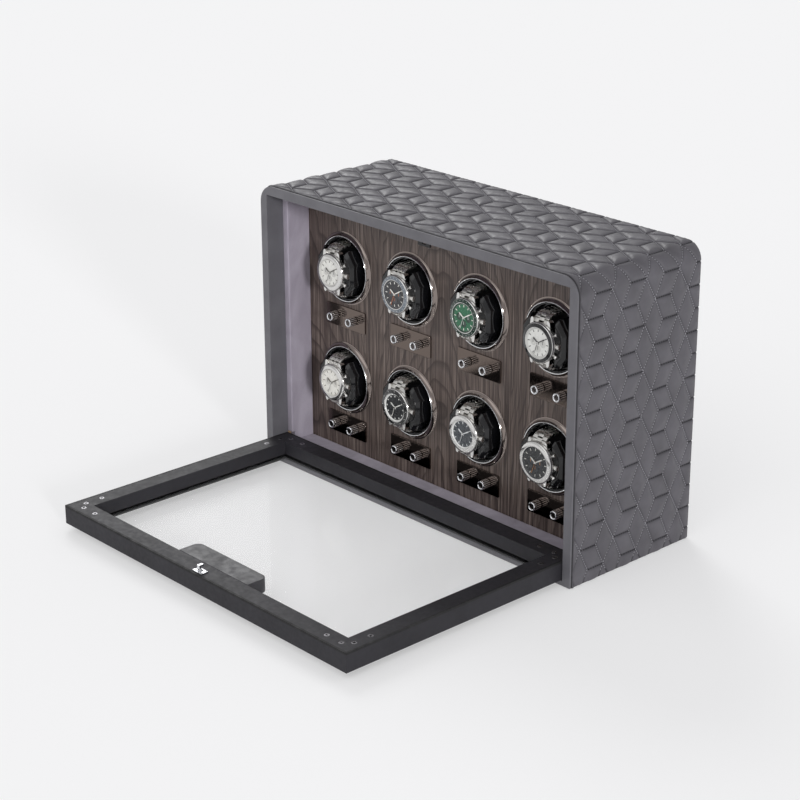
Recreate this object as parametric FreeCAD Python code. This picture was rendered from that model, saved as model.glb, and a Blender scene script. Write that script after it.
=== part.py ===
"""Watch winder box: a quilted case with a drop-down glazed door and eight motor-driven watch cups.

Frame, in millimetres: +Z up, the front faces -Y, +X is to the right of someone facing the front.
The origin is the centre of the case's footprint on the table. The door is modelled lying open.
"""
import FreeCAD, Part
import math
import os

Vector = FreeCAD.Vector

# ---------------------------------------------------------------- driving dimensions
# Case
CASE_WIDTH = 480.0
CASE_DEPTH = 184.0
CASE_HEIGHT = 327.0
COVER = 3.0            # padded leather cover on the sides and top
BOARD = 6.5            # side and top boards
LINING = 1.0           # leather lining of the door rebate
BASE_BOARD = 9.0
LIP_BOARD = 4.0        # thinned front lip of the base board, under the door's hinge rail
FELT = 1.0
FELT_INSET = 1.5
CASE_CORNER = 20.0     # outer radius of the two upper case corners
TRIM = 2.0             # leather front band
REBATE = 23.0          # from the case front to the suede liners
HINGE_REBATE = 27.5    # the same beside and under the hinge rail, where the rail turns
LINER = 8.7            # suede-covered liner boards
BACK_COVER = 3.0
BACK_SCREW_RADIUS = 1.5
BACK_SCREW_HEAD = 2.8
BACK_SCREW_LENGTH = 14.0

# Winder panel and its eight stations
PANEL_SETBACK = 55.0   # case front to panel face
PANEL = 9.0
COLUMNS = 4
ROWS = 2
COLUMN_PITCH = 106.5
ROW_PITCH = 130.0
ROW_CENTRE = 170.5     # height midway between the rows
HOLE_RADIUS = 38.0
RING_BORE = 36.5
RING_FLANGE = 42.0
RING_CREST = 37.9
RING_HEIGHT = 4.6
HOUSING_BORE = 35.2
HOUSING_WALL = 2.8
HOUSING_DEPTH = 52.0   # behind the panel's back
HOUSING_FLANGE = 46.0
HOUSING_PROUD = 2.0    # sleeve in front of the panel face, inside the ring
SLEEVE_GAP = 0.1
CUP_RADIUS = 34.6
CUP_WALL = 1.4
CUP_SETBACK = 5.0      # panel face to cup rim
CUP_REAR_GAP = 3.0
SPINDLE_RADIUS = 3.0
SPINDLE_IN_MOTOR = 12.0
RUNNING = 0.05         # radial running clearance of every shaft
MOTOR_RADIUS = 14.0
MOTOR_LENGTH = 24.0

# Watch holder, pushed into the cup
HOLDER_REACH = 32.3    # largest radius about the cup's axis
HOLDER_HALF_FLAT = 12.0
HOLDER_SHOULDER = 19.5
HOLDER_PROUD = 18.0    # in front of the panel face
HOLDER_REAR_GAP = 5.0
HOLDER_SLOT = 17.0     # half width of the strap gap
HOLDER_BRIDGE = 6.0
HOLDER_CHAMFER = 3.5
CUSHION_HALF_DEPTH = 23.0
CUSHION_HALF_HEIGHT = 22.0
CUSHION_SETBACK = 8.0  # behind the holder's front
CUSHION_SIDE_GAP = 0.2

# Selector knobs and their plates
PLATE_WIDTH = 64.0
PLATE_HEIGHT = 25.0
PLATE = 1.5
PLATE_DROP = 58.0      # below the cup's axis
PLATE_CORNER = 1.5
KNOB_SPACING = 31.0
KNOB_RADIUS = 5.0
KNOB_LENGTH = 11.0
KNOB_GAP = 0.2
KNOB_DISH = 0.8
KNOB_SHAFT = 2.0
KNOB_SHAFT_LENGTH = 14.0
PLATE_HOLE = 4.0
BUSH_RADIUS = 3.5
SWITCH_SIDE = 13.0
SWITCH_DEPTH = 9.0

# Door, measured in its own plane: s from the hinge end, t from its outer face
RAIL = 22.0            # width of each bar in the door's plane
DOOR_THICK = 21.0
DOOR_GAP = 1.0
PIVOT = 10.5           # pivot axis from the hinge end and from the outer face
PIN_RADIUS = 3.0
PIN_BUSH = 5.0
PIN_END_GAP = 0.5
GLASS = 4.0
GLASS_LIP = 1.2        # metal outside the glass
GLASS_BITE = 7.2       # how far the glass enters each bar
GASKET = 0.5
SEAL = 2.2             # square seal around the inner face's outer edge
BAR_SIDE_WALL = 3.0
BAR_FACE_WALL = 2.5
CAVITY = 10.0          # height of the hollow inside each bar
KEY_LEG = 50.0
SCREW_NEAR = 19.5      # corner screws, from the outer corner along each bar
SCREW_FAR = 40.0
SCREW_HEAD = 3.1
SCREW_HEAD_DEPTH = 1.6
SCREW_SHANK = 1.6
SCREW_LENGTH = 10.0
LOCK_WIDTH = 112.0
LOCK_DEPTH = 26.0
LOCK_CORNER = 8.0
LOCK_GAP = 0.4

# Latch on the free rail and its keeper under the top liner
LATCH_TRAVEL = 2.2
LATCH_EDGE = 4.5       # free edge of the door to the hook's stem, unlocked
LATCH_STEM = 3.0
LATCH_HALF_WIDTH = 2.0
LATCH_HEIGHT = 8.0     # above the door's inner face
NOSE_LENGTH = 3.0
NOSE = 2.5
LATCH_SLOT_GAP = 0.3
LATCH_PLATE = 1.2
LATCH_PLATE_WIDTH = 14.5
LATCH_PLATE_DEPTH = 9.0
SLIDER_HALF_WIDTH = 6.0
SLIDER_SHORT = 4.5     # how far the slider reaches past the stem, towards the glass
SLIDER = 4.0
KEEPER_SHEET = 1.2
KEEPER_HALF_WIDTH = 9.0
KEEPER_BAR = 2.3
KEEPER_CLEARANCE = 0.4
KEEPER_PLATE_DEPTH = 16.0
POCKET_GAP = 1.0       # around the closed door's hook in the top liner

# Electrics on the back cover
BOARD_WIDTH = 130.0
BOARD_HEIGHT = 60.0
CIRCUIT_BOARD = 1.6
STANDOFF = 6.0
STANDOFF_RADIUS = 3.0
INLET_RADIUS = 5.5
INLET_FLANGE = 8.0
INLET_DEPTH = 14.0
INLET_BORE = 2.75
INLET_PIN = 1.0
INLET_FROM_EDGE = 45.0

# ---------------------------------------------------------------- derived places
HALF_WIDTH = CASE_WIDTH / 2
FRONT = -CASE_DEPTH / 2
BACK = CASE_DEPTH / 2
BOARD_OUT = HALF_WIDTH - COVER
BOARD_IN = BOARD_OUT - BOARD
OPEN_HALF = BOARD_IN - LINING
TOP_OUT = CASE_HEIGHT - COVER
TOP_IN = TOP_OUT - BOARD
OPEN_TOP = TOP_IN - LINING
BASE_TOP = FELT + BASE_BOARD
LIP_TOP = FELT + LIP_BOARD + LINING
BOARD_FRONT = FRONT + TRIM
BOARD_BACK = BACK - BACK_COVER
PANEL_FACE = FRONT + PANEL_SETBACK
PANEL_REAR = PANEL_FACE + PANEL
LINER_IN = BOARD_IN - LINER
LINER_FRONT = FRONT + REBATE
HINGE_LINER_FRONT = FRONT + HINGE_REBATE

DOOR_HALF = OPEN_HALF - DOOR_GAP
DOOR_LOW = LIP_TOP + DOOR_GAP                   # underside, open and closed
DOOR_LENGTH = OPEN_TOP - DOOR_GAP - DOOR_LOW
PIVOT_Y = FRONT + PIVOT
PIVOT_Z = DOOR_LOW + PIVOT
HINGE_END = PIVOT_Y + PIVOT
GROOVE_TOP = GLASS_LIP + GASKET + GLASS + GASKET
CAVITY_TOP = DOOR_THICK - BAR_FACE_WALL
CAVITY_LOW = CAVITY_TOP - CAVITY
LATCH_S = DOOR_LENGTH - LATCH_EDGE              # outer side of the stem
HOOK_TOP_CLOSED = DOOR_LOW + LATCH_S            # the same side as a height, with the door closed
HOOK_END_CLOSED = FRONT + DOOR_THICK + LATCH_HEIGHT

HOUSING_REAR = PANEL_REAR + HOUSING_DEPTH
HOUSING_FLOOR = HOUSING_REAR - HOUSING_WALL
CUP_FRONT = PANEL_FACE + CUP_SETBACK
CUP_REAR = HOUSING_FLOOR - CUP_REAR_GAP
HOLDER_FRONT = PANEL_FACE - HOLDER_PROUD
HOLDER_REAR = CUP_REAR - CUP_WALL * 2 - HOLDER_REAR_GAP
HOLDER_HALF_WIDTH = math.sqrt(HOLDER_REACH ** 2 - HOLDER_HALF_FLAT ** 2)
HOLDER_HALF_HEIGHT = math.sqrt(HOLDER_REACH ** 2 - HOLDER_SHOULDER ** 2)
PLATE_FACE = PANEL_FACE - PLATE


# ---------------------------------------------------------------- helpers
def block(x0, x1, y0, y1, z0, z1):
    """Box between two corners, given in any order."""
    low = Vector(min(x0, x1), min(y0, y1), min(z0, z1))
    return Part.makeBox(abs(x1 - x0), abs(y1 - y0), abs(z1 - z0), low)


def mirrored(shape):
    """The shape's mirror image across the case's middle plane."""
    return shape.mirror(Vector(0, 0, 0), Vector(1, 0, 0))


def rod(radius, x, z, y0, y1):
    """Cylinder along Y."""
    return Part.makeCylinder(radius, y1 - y0, Vector(x, y0, z), Vector(0, 1, 0))


def ring_of(points, x, z):
    """Solid of revolution about the Y line through (x, z); points are (radius, y)."""
    outline = [Vector(x + r, y, z) for r, y in points]
    face = Part.Face(Part.makePolygon(outline + outline[:1]))
    return face.revolve(Vector(x, 0, z), Vector(0, 1, 0), 360)


def outline_prism(points, y0, y1, x=0.0, z=0.0):
    """Polygon in the XZ plane, extruded from y0 to y1."""
    corners = [Vector(x + px, y0, z + pz) for px, pz in points]
    face = Part.Face(Part.makePolygon(corners + corners[:1]))
    return face.extrude(Vector(0, y1 - y0, 0))


def arched_prism(half_width, low, high, radius, y0, y1):
    """Extrusion of a rectangle whose two upper corners are round."""
    turn = radius * (1 - math.sqrt(0.5))
    left, right = -half_width, half_width
    points = {
        "low_left": Vector(left, y0, low), "low_right": Vector(right, y0, low),
        "right_up": Vector(right, y0, high - radius), "top_right": Vector(right - radius, y0, high),
        "top_left": Vector(left + radius, y0, high), "left_up": Vector(left, y0, high - radius),
    }
    edges = [
        Part.makeLine(points["low_left"], points["low_right"]),
        Part.makeLine(points["low_right"], points["right_up"]),
        Part.Arc(points["right_up"], Vector(right - turn, y0, high - turn),
                 points["top_right"]).toShape(),
        Part.makeLine(points["top_right"], points["top_left"]),
        Part.Arc(points["top_left"], Vector(left + turn, y0, high - turn), points["left_up"]).toShape(),
        Part.makeLine(points["left_up"], points["low_left"]),
    ]
    return Part.Face(Part.Wire(edges)).extrude(Vector(0, y1 - y0, 0))


def on_door(x0, x1, s0, s1, t0, t1):
    """Box on the open door: s runs from the hinge end, t up from the outer face."""
    return block(x0, x1, HINGE_END - s0, HINGE_END - s1, DOOR_LOW + t0, DOOR_LOW + t1)


def stations():
    """(x, z) of every cup axis, the upper row first, left to right."""
    first_x = -COLUMN_PITCH * (COLUMNS - 1) / 2
    first_z = ROW_CENTRE + ROW_PITCH * (ROWS - 1) / 2
    return [(first_x + column * COLUMN_PITCH, first_z - row * ROW_PITCH)
            for row in range(ROWS) for column in range(COLUMNS)]


def knob_places():
    """(x, z) of each station's two knobs, the left one first."""
    return [[(x + side * KNOB_SPACING / 2, z - PLATE_DROP) for side in (-1, 1)] for x, z in stations()]


# ---------------------------------------------------------------- case
def back_screws():
    """Countersunk screws through the back cover into the board edges."""
    side_x = (BOARD_OUT + BOARD_IN) / 2
    heights = [CASE_HEIGHT * share for share in (0.08, 0.36, 0.64, 0.9)]
    top_z = (TOP_OUT + TOP_IN) / 2
    base_z = FELT + BASE_BOARD / 2
    places = [(side * side_x, z) for side in (-1, 1) for z in heights]
    places += [(x, z) for x in (-CASE_WIDTH / 4, 0, CASE_WIDTH / 4) for z in (base_z, top_z)]
    profile = [(0, BACK), (BACK_SCREW_HEAD, BACK), (BACK_SCREW_RADIUS, BACK - BACK_SCREW_RADIUS),
               (BACK_SCREW_RADIUS, BACK - BACK_SCREW_LENGTH), (0, BACK - BACK_SCREW_LENGTH)]
    return [ring_of(profile, x, z) for x, z in places]


def hinge_bushes():
    """Bushes in the side boards that carry the door's pivot pins."""
    length = BOARD_OUT - OPEN_HALF
    bush = Part.makeCylinder(PIN_BUSH, length, Vector(OPEN_HALF, PIVOT_Y, PIVOT_Z), Vector(1, 0, 0))
    bore = Part.makeCylinder(PIN_RADIUS + RUNNING, length, Vector(OPEN_HALF, PIVOT_Y, PIVOT_Z),
                             Vector(1, 0, 0))
    bush = bush.cut(bore)
    return [bush, mirrored(bush)]


def bush_space():
    """The room both bushes take, as one cylinder through the case."""
    return Part.makeCylinder(PIN_BUSH, 2 * BOARD_OUT, Vector(-BOARD_OUT, PIVOT_Y, PIVOT_Z),
                             Vector(1, 0, 0))


def case_boards():
    """Side boards, top board and base board, cut from one arched ring."""
    outer = arched_prism(BOARD_OUT, FELT, TOP_OUT, CASE_CORNER - COVER, BOARD_FRONT, BOARD_BACK)
    screws = Part.makeCompound(back_screws())
    side = outer.common(block(BOARD_IN, BOARD_OUT, FRONT, BACK, BASE_TOP, TOP_IN))
    side = side.cut(bush_space()).cut(screws)
    other = outer.common(block(-BOARD_OUT, -BOARD_IN, FRONT, BACK, BASE_TOP, TOP_IN))
    other = other.cut(bush_space()).cut(screws)
    top = outer.common(block(-BOARD_OUT, BOARD_OUT, FRONT, BACK, TOP_IN, TOP_OUT)).cut(screws)
    base = block(-BOARD_OUT, BOARD_OUT, BOARD_FRONT, BOARD_BACK, FELT, BASE_TOP)
    lip_cut = block(-BOARD_IN, BOARD_IN, FRONT, HINGE_LINER_FRONT, FELT + LIP_BOARD, BASE_TOP)
    base = base.cut(lip_cut).cut(screws)
    return {"side_boards": [side, other], "top_board": [top], "base_board": [base]}


def quilted_cover():
    """Padded leather that wraps the left side, the top and the right side."""
    outer = arched_prism(HALF_WIDTH, FELT, CASE_HEIGHT, CASE_CORNER, BOARD_FRONT, BACK)
    inner = arched_prism(BOARD_OUT, FELT, TOP_OUT, CASE_CORNER - COVER, BOARD_FRONT, BACK)
    return outer.cut(inner)


def front_trim():
    """Leather band on the case's front edge, turned in over the rebate."""
    band = arched_prism(HALF_WIDTH, FELT, CASE_HEIGHT, CASE_CORNER, FRONT, BOARD_FRONT)
    legs = block(-BOARD_IN, BOARD_IN, BOARD_FRONT, LINER_FRONT, LIP_TOP - LINING, TOP_IN)
    lip = block(-BOARD_IN, BOARD_IN, BOARD_FRONT, HINGE_LINER_FRONT, LIP_TOP - LINING, LIP_TOP)
    opening = block(-OPEN_HALF, OPEN_HALF, FRONT, HINGE_LINER_FRONT, LIP_TOP, OPEN_TOP)
    return band.fuse([legs, lip]).cut(opening).cut(bush_space()).removeSplitter()


def hook_pocket():
    """Room for the hook between the closed door and the top liner."""
    half = LATCH_HALF_WIDTH + POCKET_GAP
    return block(-half, half, LINER_FRONT, HOOK_END_CLOSED + POCKET_GAP, DOOR_LOW,
                 HOOK_TOP_CLOSED + POCKET_GAP)


def liner_panels():
    """Suede-covered boards lining the display space in front of the panel."""
    notch_top = DOOR_LOW + DOOR_THICK + 0.6
    side = block(LINER_IN, BOARD_IN, LINER_FRONT, PANEL_FACE, BASE_TOP, TOP_IN)
    side = side.cut(block(LINER_IN, BOARD_IN, LINER_FRONT, HINGE_LINER_FRONT, BASE_TOP, notch_top))
    top = block(-LINER_IN, LINER_IN, LINER_FRONT, PANEL_FACE, TOP_IN - LINER, TOP_IN).cut(hook_pocket())
    base = block(-LINER_IN, LINER_IN, HINGE_LINER_FRONT, PANEL_FACE, BASE_TOP, BASE_TOP + LINER)
    return [side, mirrored(side), top, base]


def back_cover():
    """Rear board, with the inlet's stepped hole."""
    plate = arched_prism(BOARD_OUT, FELT, TOP_OUT, CASE_CORNER - COVER, BOARD_BACK, BACK)
    plate = plate.cut(Part.makeCompound(back_screws()))
    x, z = inlet_place()
    plate = plate.cut(rod(INLET_RADIUS, x, z, BOARD_BACK, BACK))
    return plate.cut(rod(INLET_FLANGE, x, z, BACK - PLATE, BACK))


# ---------------------------------------------------------------- electrics
def inlet_place():
    """(x, z) of the low-voltage inlet on the back."""
    return -HALF_WIDTH + INLET_FROM_EDGE, INLET_FROM_EDGE


def power_inlet():
    """Barrel inlet for the mains adaptor's plug, with its centre pin."""
    x, z = inlet_place()
    flange = rod(INLET_FLANGE, x, z, BACK - PLATE, BACK)
    body = rod(INLET_RADIUS, x, z, BACK - INLET_DEPTH, BACK).fuse(flange)
    body = body.cut(rod(INLET_BORE, x, z, BACK - INLET_DEPTH + PLATE, BACK))
    return body.fuse(rod(INLET_PIN, x, z, BACK - INLET_DEPTH, BACK - PLATE)).removeSplitter()


def control_board():
    """Motor controller on four standoffs, with a connector for each station."""
    rear = BOARD_BACK - STANDOFF
    low = ROW_CENTRE - BOARD_HEIGHT / 2
    inset = 2 * STANDOFF_RADIUS
    solids = [block(-BOARD_WIDTH / 2, BOARD_WIDTH / 2, rear - CIRCUIT_BOARD, rear,
                    low, low + BOARD_HEIGHT)]
    for x in (-BOARD_WIDTH / 2 + inset, BOARD_WIDTH / 2 - inset):
        for z in (low + inset, low + BOARD_HEIGHT - inset):
            solids.append(rod(STANDOFF_RADIUS, x, z, rear, BOARD_BACK))
    pitch = (BOARD_WIDTH - 4 * inset) / (ROWS * COLUMNS)
    face = rear - CIRCUIT_BOARD
    for number in range(ROWS * COLUMNS):
        x = (number - (ROWS * COLUMNS - 1) / 2) * pitch
        solids.append(block(x - pitch / 3, x + pitch / 3, face - STANDOFF, face,
                            low + inset, low + 2 * inset))
    solids.append(block(-inset, inset, face - PLATE, face, low + 4 * inset, low + 6 * inset))
    return solids


# ---------------------------------------------------------------- winder stations
def winder_panel():
    """Veneered board with a round hole for each cup and two small ones for each pair of knobs."""
    panel = block(-BOARD_IN, BOARD_IN, PANEL_FACE, PANEL_REAR, BASE_TOP, TOP_IN)
    holes = [rod(HOLE_RADIUS, x, z, PANEL_FACE, PANEL_REAR) for x, z in stations()]
    holes += [rod(BUSH_RADIUS + SLEEVE_GAP, x, z, PANEL_FACE, PANEL_REAR)
              for pair in knob_places() for x, z in pair]
    return panel.cut(Part.makeCompound(holes))


def bezel_ring(x, z):
    """Flared ring with a spigot that lines the panel's hole."""
    spigot = HOLE_RADIUS - SLEEVE_GAP
    middle = (RING_CREST + RING_FLANGE) / 2
    outline = [
        (RING_BORE, PANEL_REAR), (RING_BORE, PANEL_FACE - RING_HEIGHT * 0.75),
        (RING_CREST - 0.7, PANEL_FACE - RING_HEIGHT), (RING_CREST, PANEL_FACE - RING_HEIGHT * 0.95),
        (middle, PANEL_FACE - RING_HEIGHT * 0.55), (RING_FLANGE, PANEL_FACE - RING_HEIGHT * 0.2),
        (RING_FLANGE, PANEL_FACE), (spigot, PANEL_FACE), (spigot, PANEL_REAR),
    ]
    return ring_of(outline, x, z)


def cup_housing(x, z):
    """Fixed can behind the panel: sleeve in the ring, flange on the panel's back, bushed rear wall."""
    sleeve = RING_BORE - SLEEVE_GAP
    can = HOUSING_BORE + HOUSING_WALL
    bore = SPINDLE_RADIUS + RUNNING
    outline = [
        (HOUSING_BORE, PANEL_FACE - HOUSING_PROUD), (sleeve, PANEL_FACE - HOUSING_PROUD),
        (sleeve, PANEL_REAR),
        (HOUSING_FLANGE, PANEL_REAR), (HOUSING_FLANGE, PANEL_REAR + TRIM), (can, PANEL_REAR + TRIM),
        (can, HOUSING_REAR), (bore, HOUSING_REAR), (bore, HOUSING_FLOOR), (HOUSING_BORE, HOUSING_FLOOR),
    ]
    return ring_of(outline, x, z)


def gear_motor(x, z):
    """Geared motor on the housing's rear wall, bored for the cup's spindle."""
    body = rod(MOTOR_RADIUS, x, z, HOUSING_REAR, HOUSING_REAR + MOTOR_LENGTH)
    return body.cut(rod(SPINDLE_RADIUS + RUNNING, x, z, HOUSING_REAR, HOUSING_REAR + SPINDLE_IN_MOTOR + 1))


def rotor_cup(x, z):
    """Turning cup with its spindle."""
    floor = CUP_REAR - 2 * CUP_WALL
    inner = CUP_RADIUS - CUP_WALL
    tip = HOUSING_REAR + SPINDLE_IN_MOTOR
    outline = [
        (inner, CUP_FRONT), (CUP_RADIUS, CUP_FRONT), (CUP_RADIUS, CUP_REAR), (SPINDLE_RADIUS, CUP_REAR),
        (SPINDLE_RADIUS, tip), (0, tip), (0, floor), (inner, floor),
    ]
    return ring_of(outline, x, z)


def watch_holder(x, z):
    """Eight-sided frame with two cheeks, and the oval cushion the strap goes round."""
    flat, shoulder = HOLDER_HALF_FLAT, HOLDER_SHOULDER
    quarter = [(HOLDER_HALF_WIDTH, flat), (shoulder, HOLDER_HALF_HEIGHT)]
    upper = quarter + [(-px, pz) for px, pz in reversed(quarter)]
    outline = upper + [(px, -pz) for px, pz in reversed(upper)]
    frame = outline_prism(outline, HOLDER_FRONT, HOLDER_REAR, x, z)
    front_edges = [edge for edge in frame.Edges if abs(edge.BoundBox.YMax - HOLDER_FRONT) < 1e-6]
    frame = frame.makeChamfer(HOLDER_CHAMFER, front_edges)
    gap = block(x - HOLDER_SLOT, x + HOLDER_SLOT, HOLDER_FRONT - 1, HOLDER_REAR - HOLDER_BRIDGE,
                z - HOLDER_REACH, z + HOLDER_REACH)
    frame = frame.cut(gap)
    middle = HOLDER_FRONT + CUSHION_SETBACK + CUSHION_HALF_DEPTH
    half = HOLDER_SLOT - CUSHION_SIDE_GAP
    oval = Part.Ellipse(Vector(0, 0, 0), CUSHION_HALF_DEPTH, CUSHION_HALF_HEIGHT)
    cushion = Part.Face(Part.Wire([oval.toShape()])).extrude(Vector(0, 0, 2 * half))
    cushion.rotate(Vector(0, 0, 0), Vector(0, 0, 1), 90)
    cushion.rotate(Vector(0, 0, 0), Vector(0, 1, 0), 90)
    cushion.translate(Vector(x - half, middle, z))
    return [frame, cushion]


def knob_plate(pair):
    """Polished plate under a cup, with a hole for each knob's bush."""
    (left, z), (right, _) = pair
    middle = (left + right) / 2
    plate = block(middle - PLATE_WIDTH / 2, middle + PLATE_WIDTH / 2, PLATE_FACE, PANEL_FACE,
                  z - PLATE_HEIGHT / 2, z + PLATE_HEIGHT / 2)
    corners = [edge for edge in plate.Edges if edge.BoundBox.YLength > PLATE / 2]
    plate = plate.makeFillet(PLATE_CORNER, corners)
    return plate.cut(rod(PLATE_HOLE, left, z, PLATE_FACE, PANEL_FACE)).cut(
        rod(PLATE_HOLE, right, z, PLATE_FACE, PANEL_FACE))


def selector_switch(x, z):
    """Rotary switch on the panel's back with a bush through the panel."""
    half = SWITCH_SIDE / 2
    body = block(x - half, x + half, PANEL_REAR, PANEL_REAR + SWITCH_DEPTH, z - half, z + half)
    body = body.fuse(rod(BUSH_RADIUS, x, z, PANEL_FACE, PANEL_REAR))
    tip = PLATE_FACE - KNOB_GAP + KNOB_SHAFT_LENGTH + 1
    return body.cut(rod(KNOB_SHAFT + RUNNING, x, z, PANEL_FACE, tip)).removeSplitter()


def knob(x, z):
    """Dished knob and its shaft."""
    back = PLATE_FACE - KNOB_GAP
    front = back - KNOB_LENGTH
    rim = KNOB_RADIUS - KNOB_DISH
    outline = [
        (0, front + KNOB_DISH), (rim - KNOB_DISH, front + KNOB_DISH), (rim, front),
        (KNOB_RADIUS, front + KNOB_DISH),
        (KNOB_RADIUS, back), (KNOB_SHAFT, back), (KNOB_SHAFT, back + KNOB_SHAFT_LENGTH),
        (0, back + KNOB_SHAFT_LENGTH),
    ]
    return ring_of(outline, x, z)


# ---------------------------------------------------------------- door
def corner_places():
    """(x, s) of the sixteen corner screws, four to a corner."""
    middle = RAIL / 2
    near_far = [(SCREW_NEAR, middle), (SCREW_FAR, middle), (middle, SCREW_NEAR), (middle, SCREW_FAR)]
    places = []
    for along_x, along_s in near_far:
        for side in (-1, 1):
            places.append((side * (DOOR_HALF - along_x), along_s))
            places.append((side * (DOOR_HALF - along_x), DOOR_LENGTH - along_s))
    return places


def corner_screws():
    """Countersunk screws, heads flush with the door's inner face."""
    face = DOOR_LOW + DOOR_THICK
    outline = [(0, 0), (SCREW_HEAD, 0), (SCREW_SHANK, -SCREW_HEAD_DEPTH), (SCREW_SHANK, -SCREW_LENGTH),
               (0, -SCREW_LENGTH)]
    solids = []
    for x, s in corner_places():
        points = [Vector(x + r, HINGE_END - s, face + depth) for r, depth in outline]
        section = Part.Face(Part.makePolygon(points + points[:1]))
        solids.append(section.revolve(points[0], Vector(0, 0, 1), 360))
    return solids


def frame_ring(inset, width, t0, t1):
    """Rectangular ring on the door: its outside is inset from the door's edge."""
    outer = on_door(-DOOR_HALF + inset, DOOR_HALF - inset, inset, DOOR_LENGTH - inset, t0, t1)
    inner = inset + width
    return outer.cut(on_door(-DOOR_HALF + inner, DOOR_HALF - inner, inner, DOOR_LENGTH - inner, t0, t1))


def hinge_rounding():
    """Material outside the quarter round that lets the hinge rail turn above the base lip."""
    corner = on_door(-DOOR_HALF, DOOR_HALF, 0, PIVOT, 0, PIVOT)
    round_bar = Part.makeCylinder(PIVOT, 2 * DOOR_HALF, Vector(-DOOR_HALF, PIVOT_Y, PIVOT_Z),
                                  Vector(1, 0, 0))
    return corner.cut(round_bar)


def seal_space():
    """Room of the seal around the outer edge of the inner face."""
    return frame_ring(0, SEAL, DOOR_THICK - SEAL, DOOR_THICK)


def mitre_wedge(x_side):
    """Trapezoid region of one stile, between the two mitres."""
    edge, inner = x_side * DOOR_HALF, x_side * (DOOR_HALF - RAIL)
    corners = [(edge, 0), (edge, DOOR_LENGTH), (inner, DOOR_LENGTH - RAIL), (inner, RAIL)]
    points = [Vector(x, HINGE_END - s, DOOR_LOW) for x, s in corners]
    return Part.Face(Part.makePolygon(points + points[:1])).extrude(Vector(0, 0, DOOR_THICK))


def door_bars():
    """Hollow bars with mitred corners, a glass groove, a seal rebate and their screw holes."""
    frame = frame_ring(0, RAIL, 0, DOOR_THICK)
    frame = frame.cut(frame_ring(BAR_SIDE_WALL, RAIL - 2 * BAR_SIDE_WALL, CAVITY_LOW, CAVITY_TOP))
    groove = GLASS_BITE + GASKET
    frame = frame.cut(frame_ring(RAIL - groove, groove, GLASS_LIP, GROOVE_TOP))
    frame = frame.cut(seal_space()).cut(hinge_rounding())
    pins = Part.makeCylinder(PIN_RADIUS, 2 * DOOR_HALF, Vector(-DOOR_HALF, PIVOT_Y, PIVOT_Z),
                             Vector(1, 0, 0))
    middle = on_door(-DOOR_HALF + BAR_SIDE_WALL, DOOR_HALF - BAR_SIDE_WALL, 0, DOOR_LENGTH,
                     0, DOOR_THICK)
    frame = frame.cut(pins.cut(middle)).cut(Part.makeCompound(corner_screws()))
    slot = on_door(-LATCH_HALF_WIDTH - LATCH_SLOT_GAP, LATCH_HALF_WIDTH + LATCH_SLOT_GAP,
                   LATCH_S - LATCH_STEM - LATCH_TRAVEL - LATCH_SLOT_GAP, LATCH_S + LATCH_SLOT_GAP,
                   CAVITY_TOP, DOOR_THICK)
    frame = frame.cut(slot)
    stiles = [frame.common(mitre_wedge(side)) for side in (1, -1)]
    rails = frame.cut(Part.makeCompound([mitre_wedge(1), mitre_wedge(-1)]))
    return {"door_stiles": stiles, "door_rails": rails.Solids}


def corner_keys():
    """L-shaped keys inside the corners; the two at the hinge end carry the pivot pins."""
    cavity = frame_ring(BAR_SIDE_WALL, RAIL - 2 * BAR_SIDE_WALL, CAVITY_LOW, CAVITY_TOP)
    keys = []
    for side in (1, -1):
        for hinge_end in (True, False):
            s0 = 0 if hinge_end else DOOR_LENGTH - KEY_LEG
            reach = on_door(side * DOOR_HALF, side * (DOOR_HALF - KEY_LEG), s0, s0 + KEY_LEG,
                            0, DOOR_THICK)
            key = cavity.common(reach)
            if hinge_end:
                start = side * (DOOR_HALF - BAR_SIDE_WALL)
                end = side * (BOARD_OUT - PIN_END_GAP)
                pin = Part.makeCylinder(PIN_RADIUS, abs(end - start), Vector(start, PIVOT_Y, PIVOT_Z),
                                        Vector(side, 0, 0))
                key = key.fuse(pin).removeSplitter()
            keys.append(key.cut(Part.makeCompound(corner_screws())))
    return keys


def door_glass():
    """Tempered pane, held in the bars' groove."""
    edge = RAIL - GLASS_BITE
    return on_door(-DOOR_HALF + edge, DOOR_HALF - edge, edge, DOOR_LENGTH - edge,
                   GLASS_LIP + GASKET, GLASS_LIP + GASKET + GLASS)


def door_seals():
    """Channel gasket around the pane, and the closing seal on the inner face's outer edge."""
    groove = GLASS_BITE + GASKET
    gasket = frame_ring(RAIL - groove, groove, GLASS_LIP, GROOVE_TOP).cut(door_glass())
    return [gasket, seal_space()]


def lock_housing():
    """Cover of the lock, standing on the pane against the free rail."""
    s1 = DOOR_LENGTH - RAIL - LOCK_GAP
    body = on_door(-LOCK_WIDTH / 2, LOCK_WIDTH / 2, s1 - LOCK_DEPTH, s1,
                   GLASS_LIP + GASKET + GLASS, DOOR_THICK)
    far = HINGE_END - s1 + LOCK_DEPTH
    corners = [edge for edge in body.Edges if edge.BoundBox.ZLength > 1 and edge.BoundBox.YMax > far - 1]
    body = body.makeFillet(LOCK_CORNER, corners)
    bite = frame_ring(RAIL - GLASS_BITE, GLASS_BITE + LOCK_GAP, GLASS_LIP, GROOVE_TOP)
    return body.cut(bite)


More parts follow.
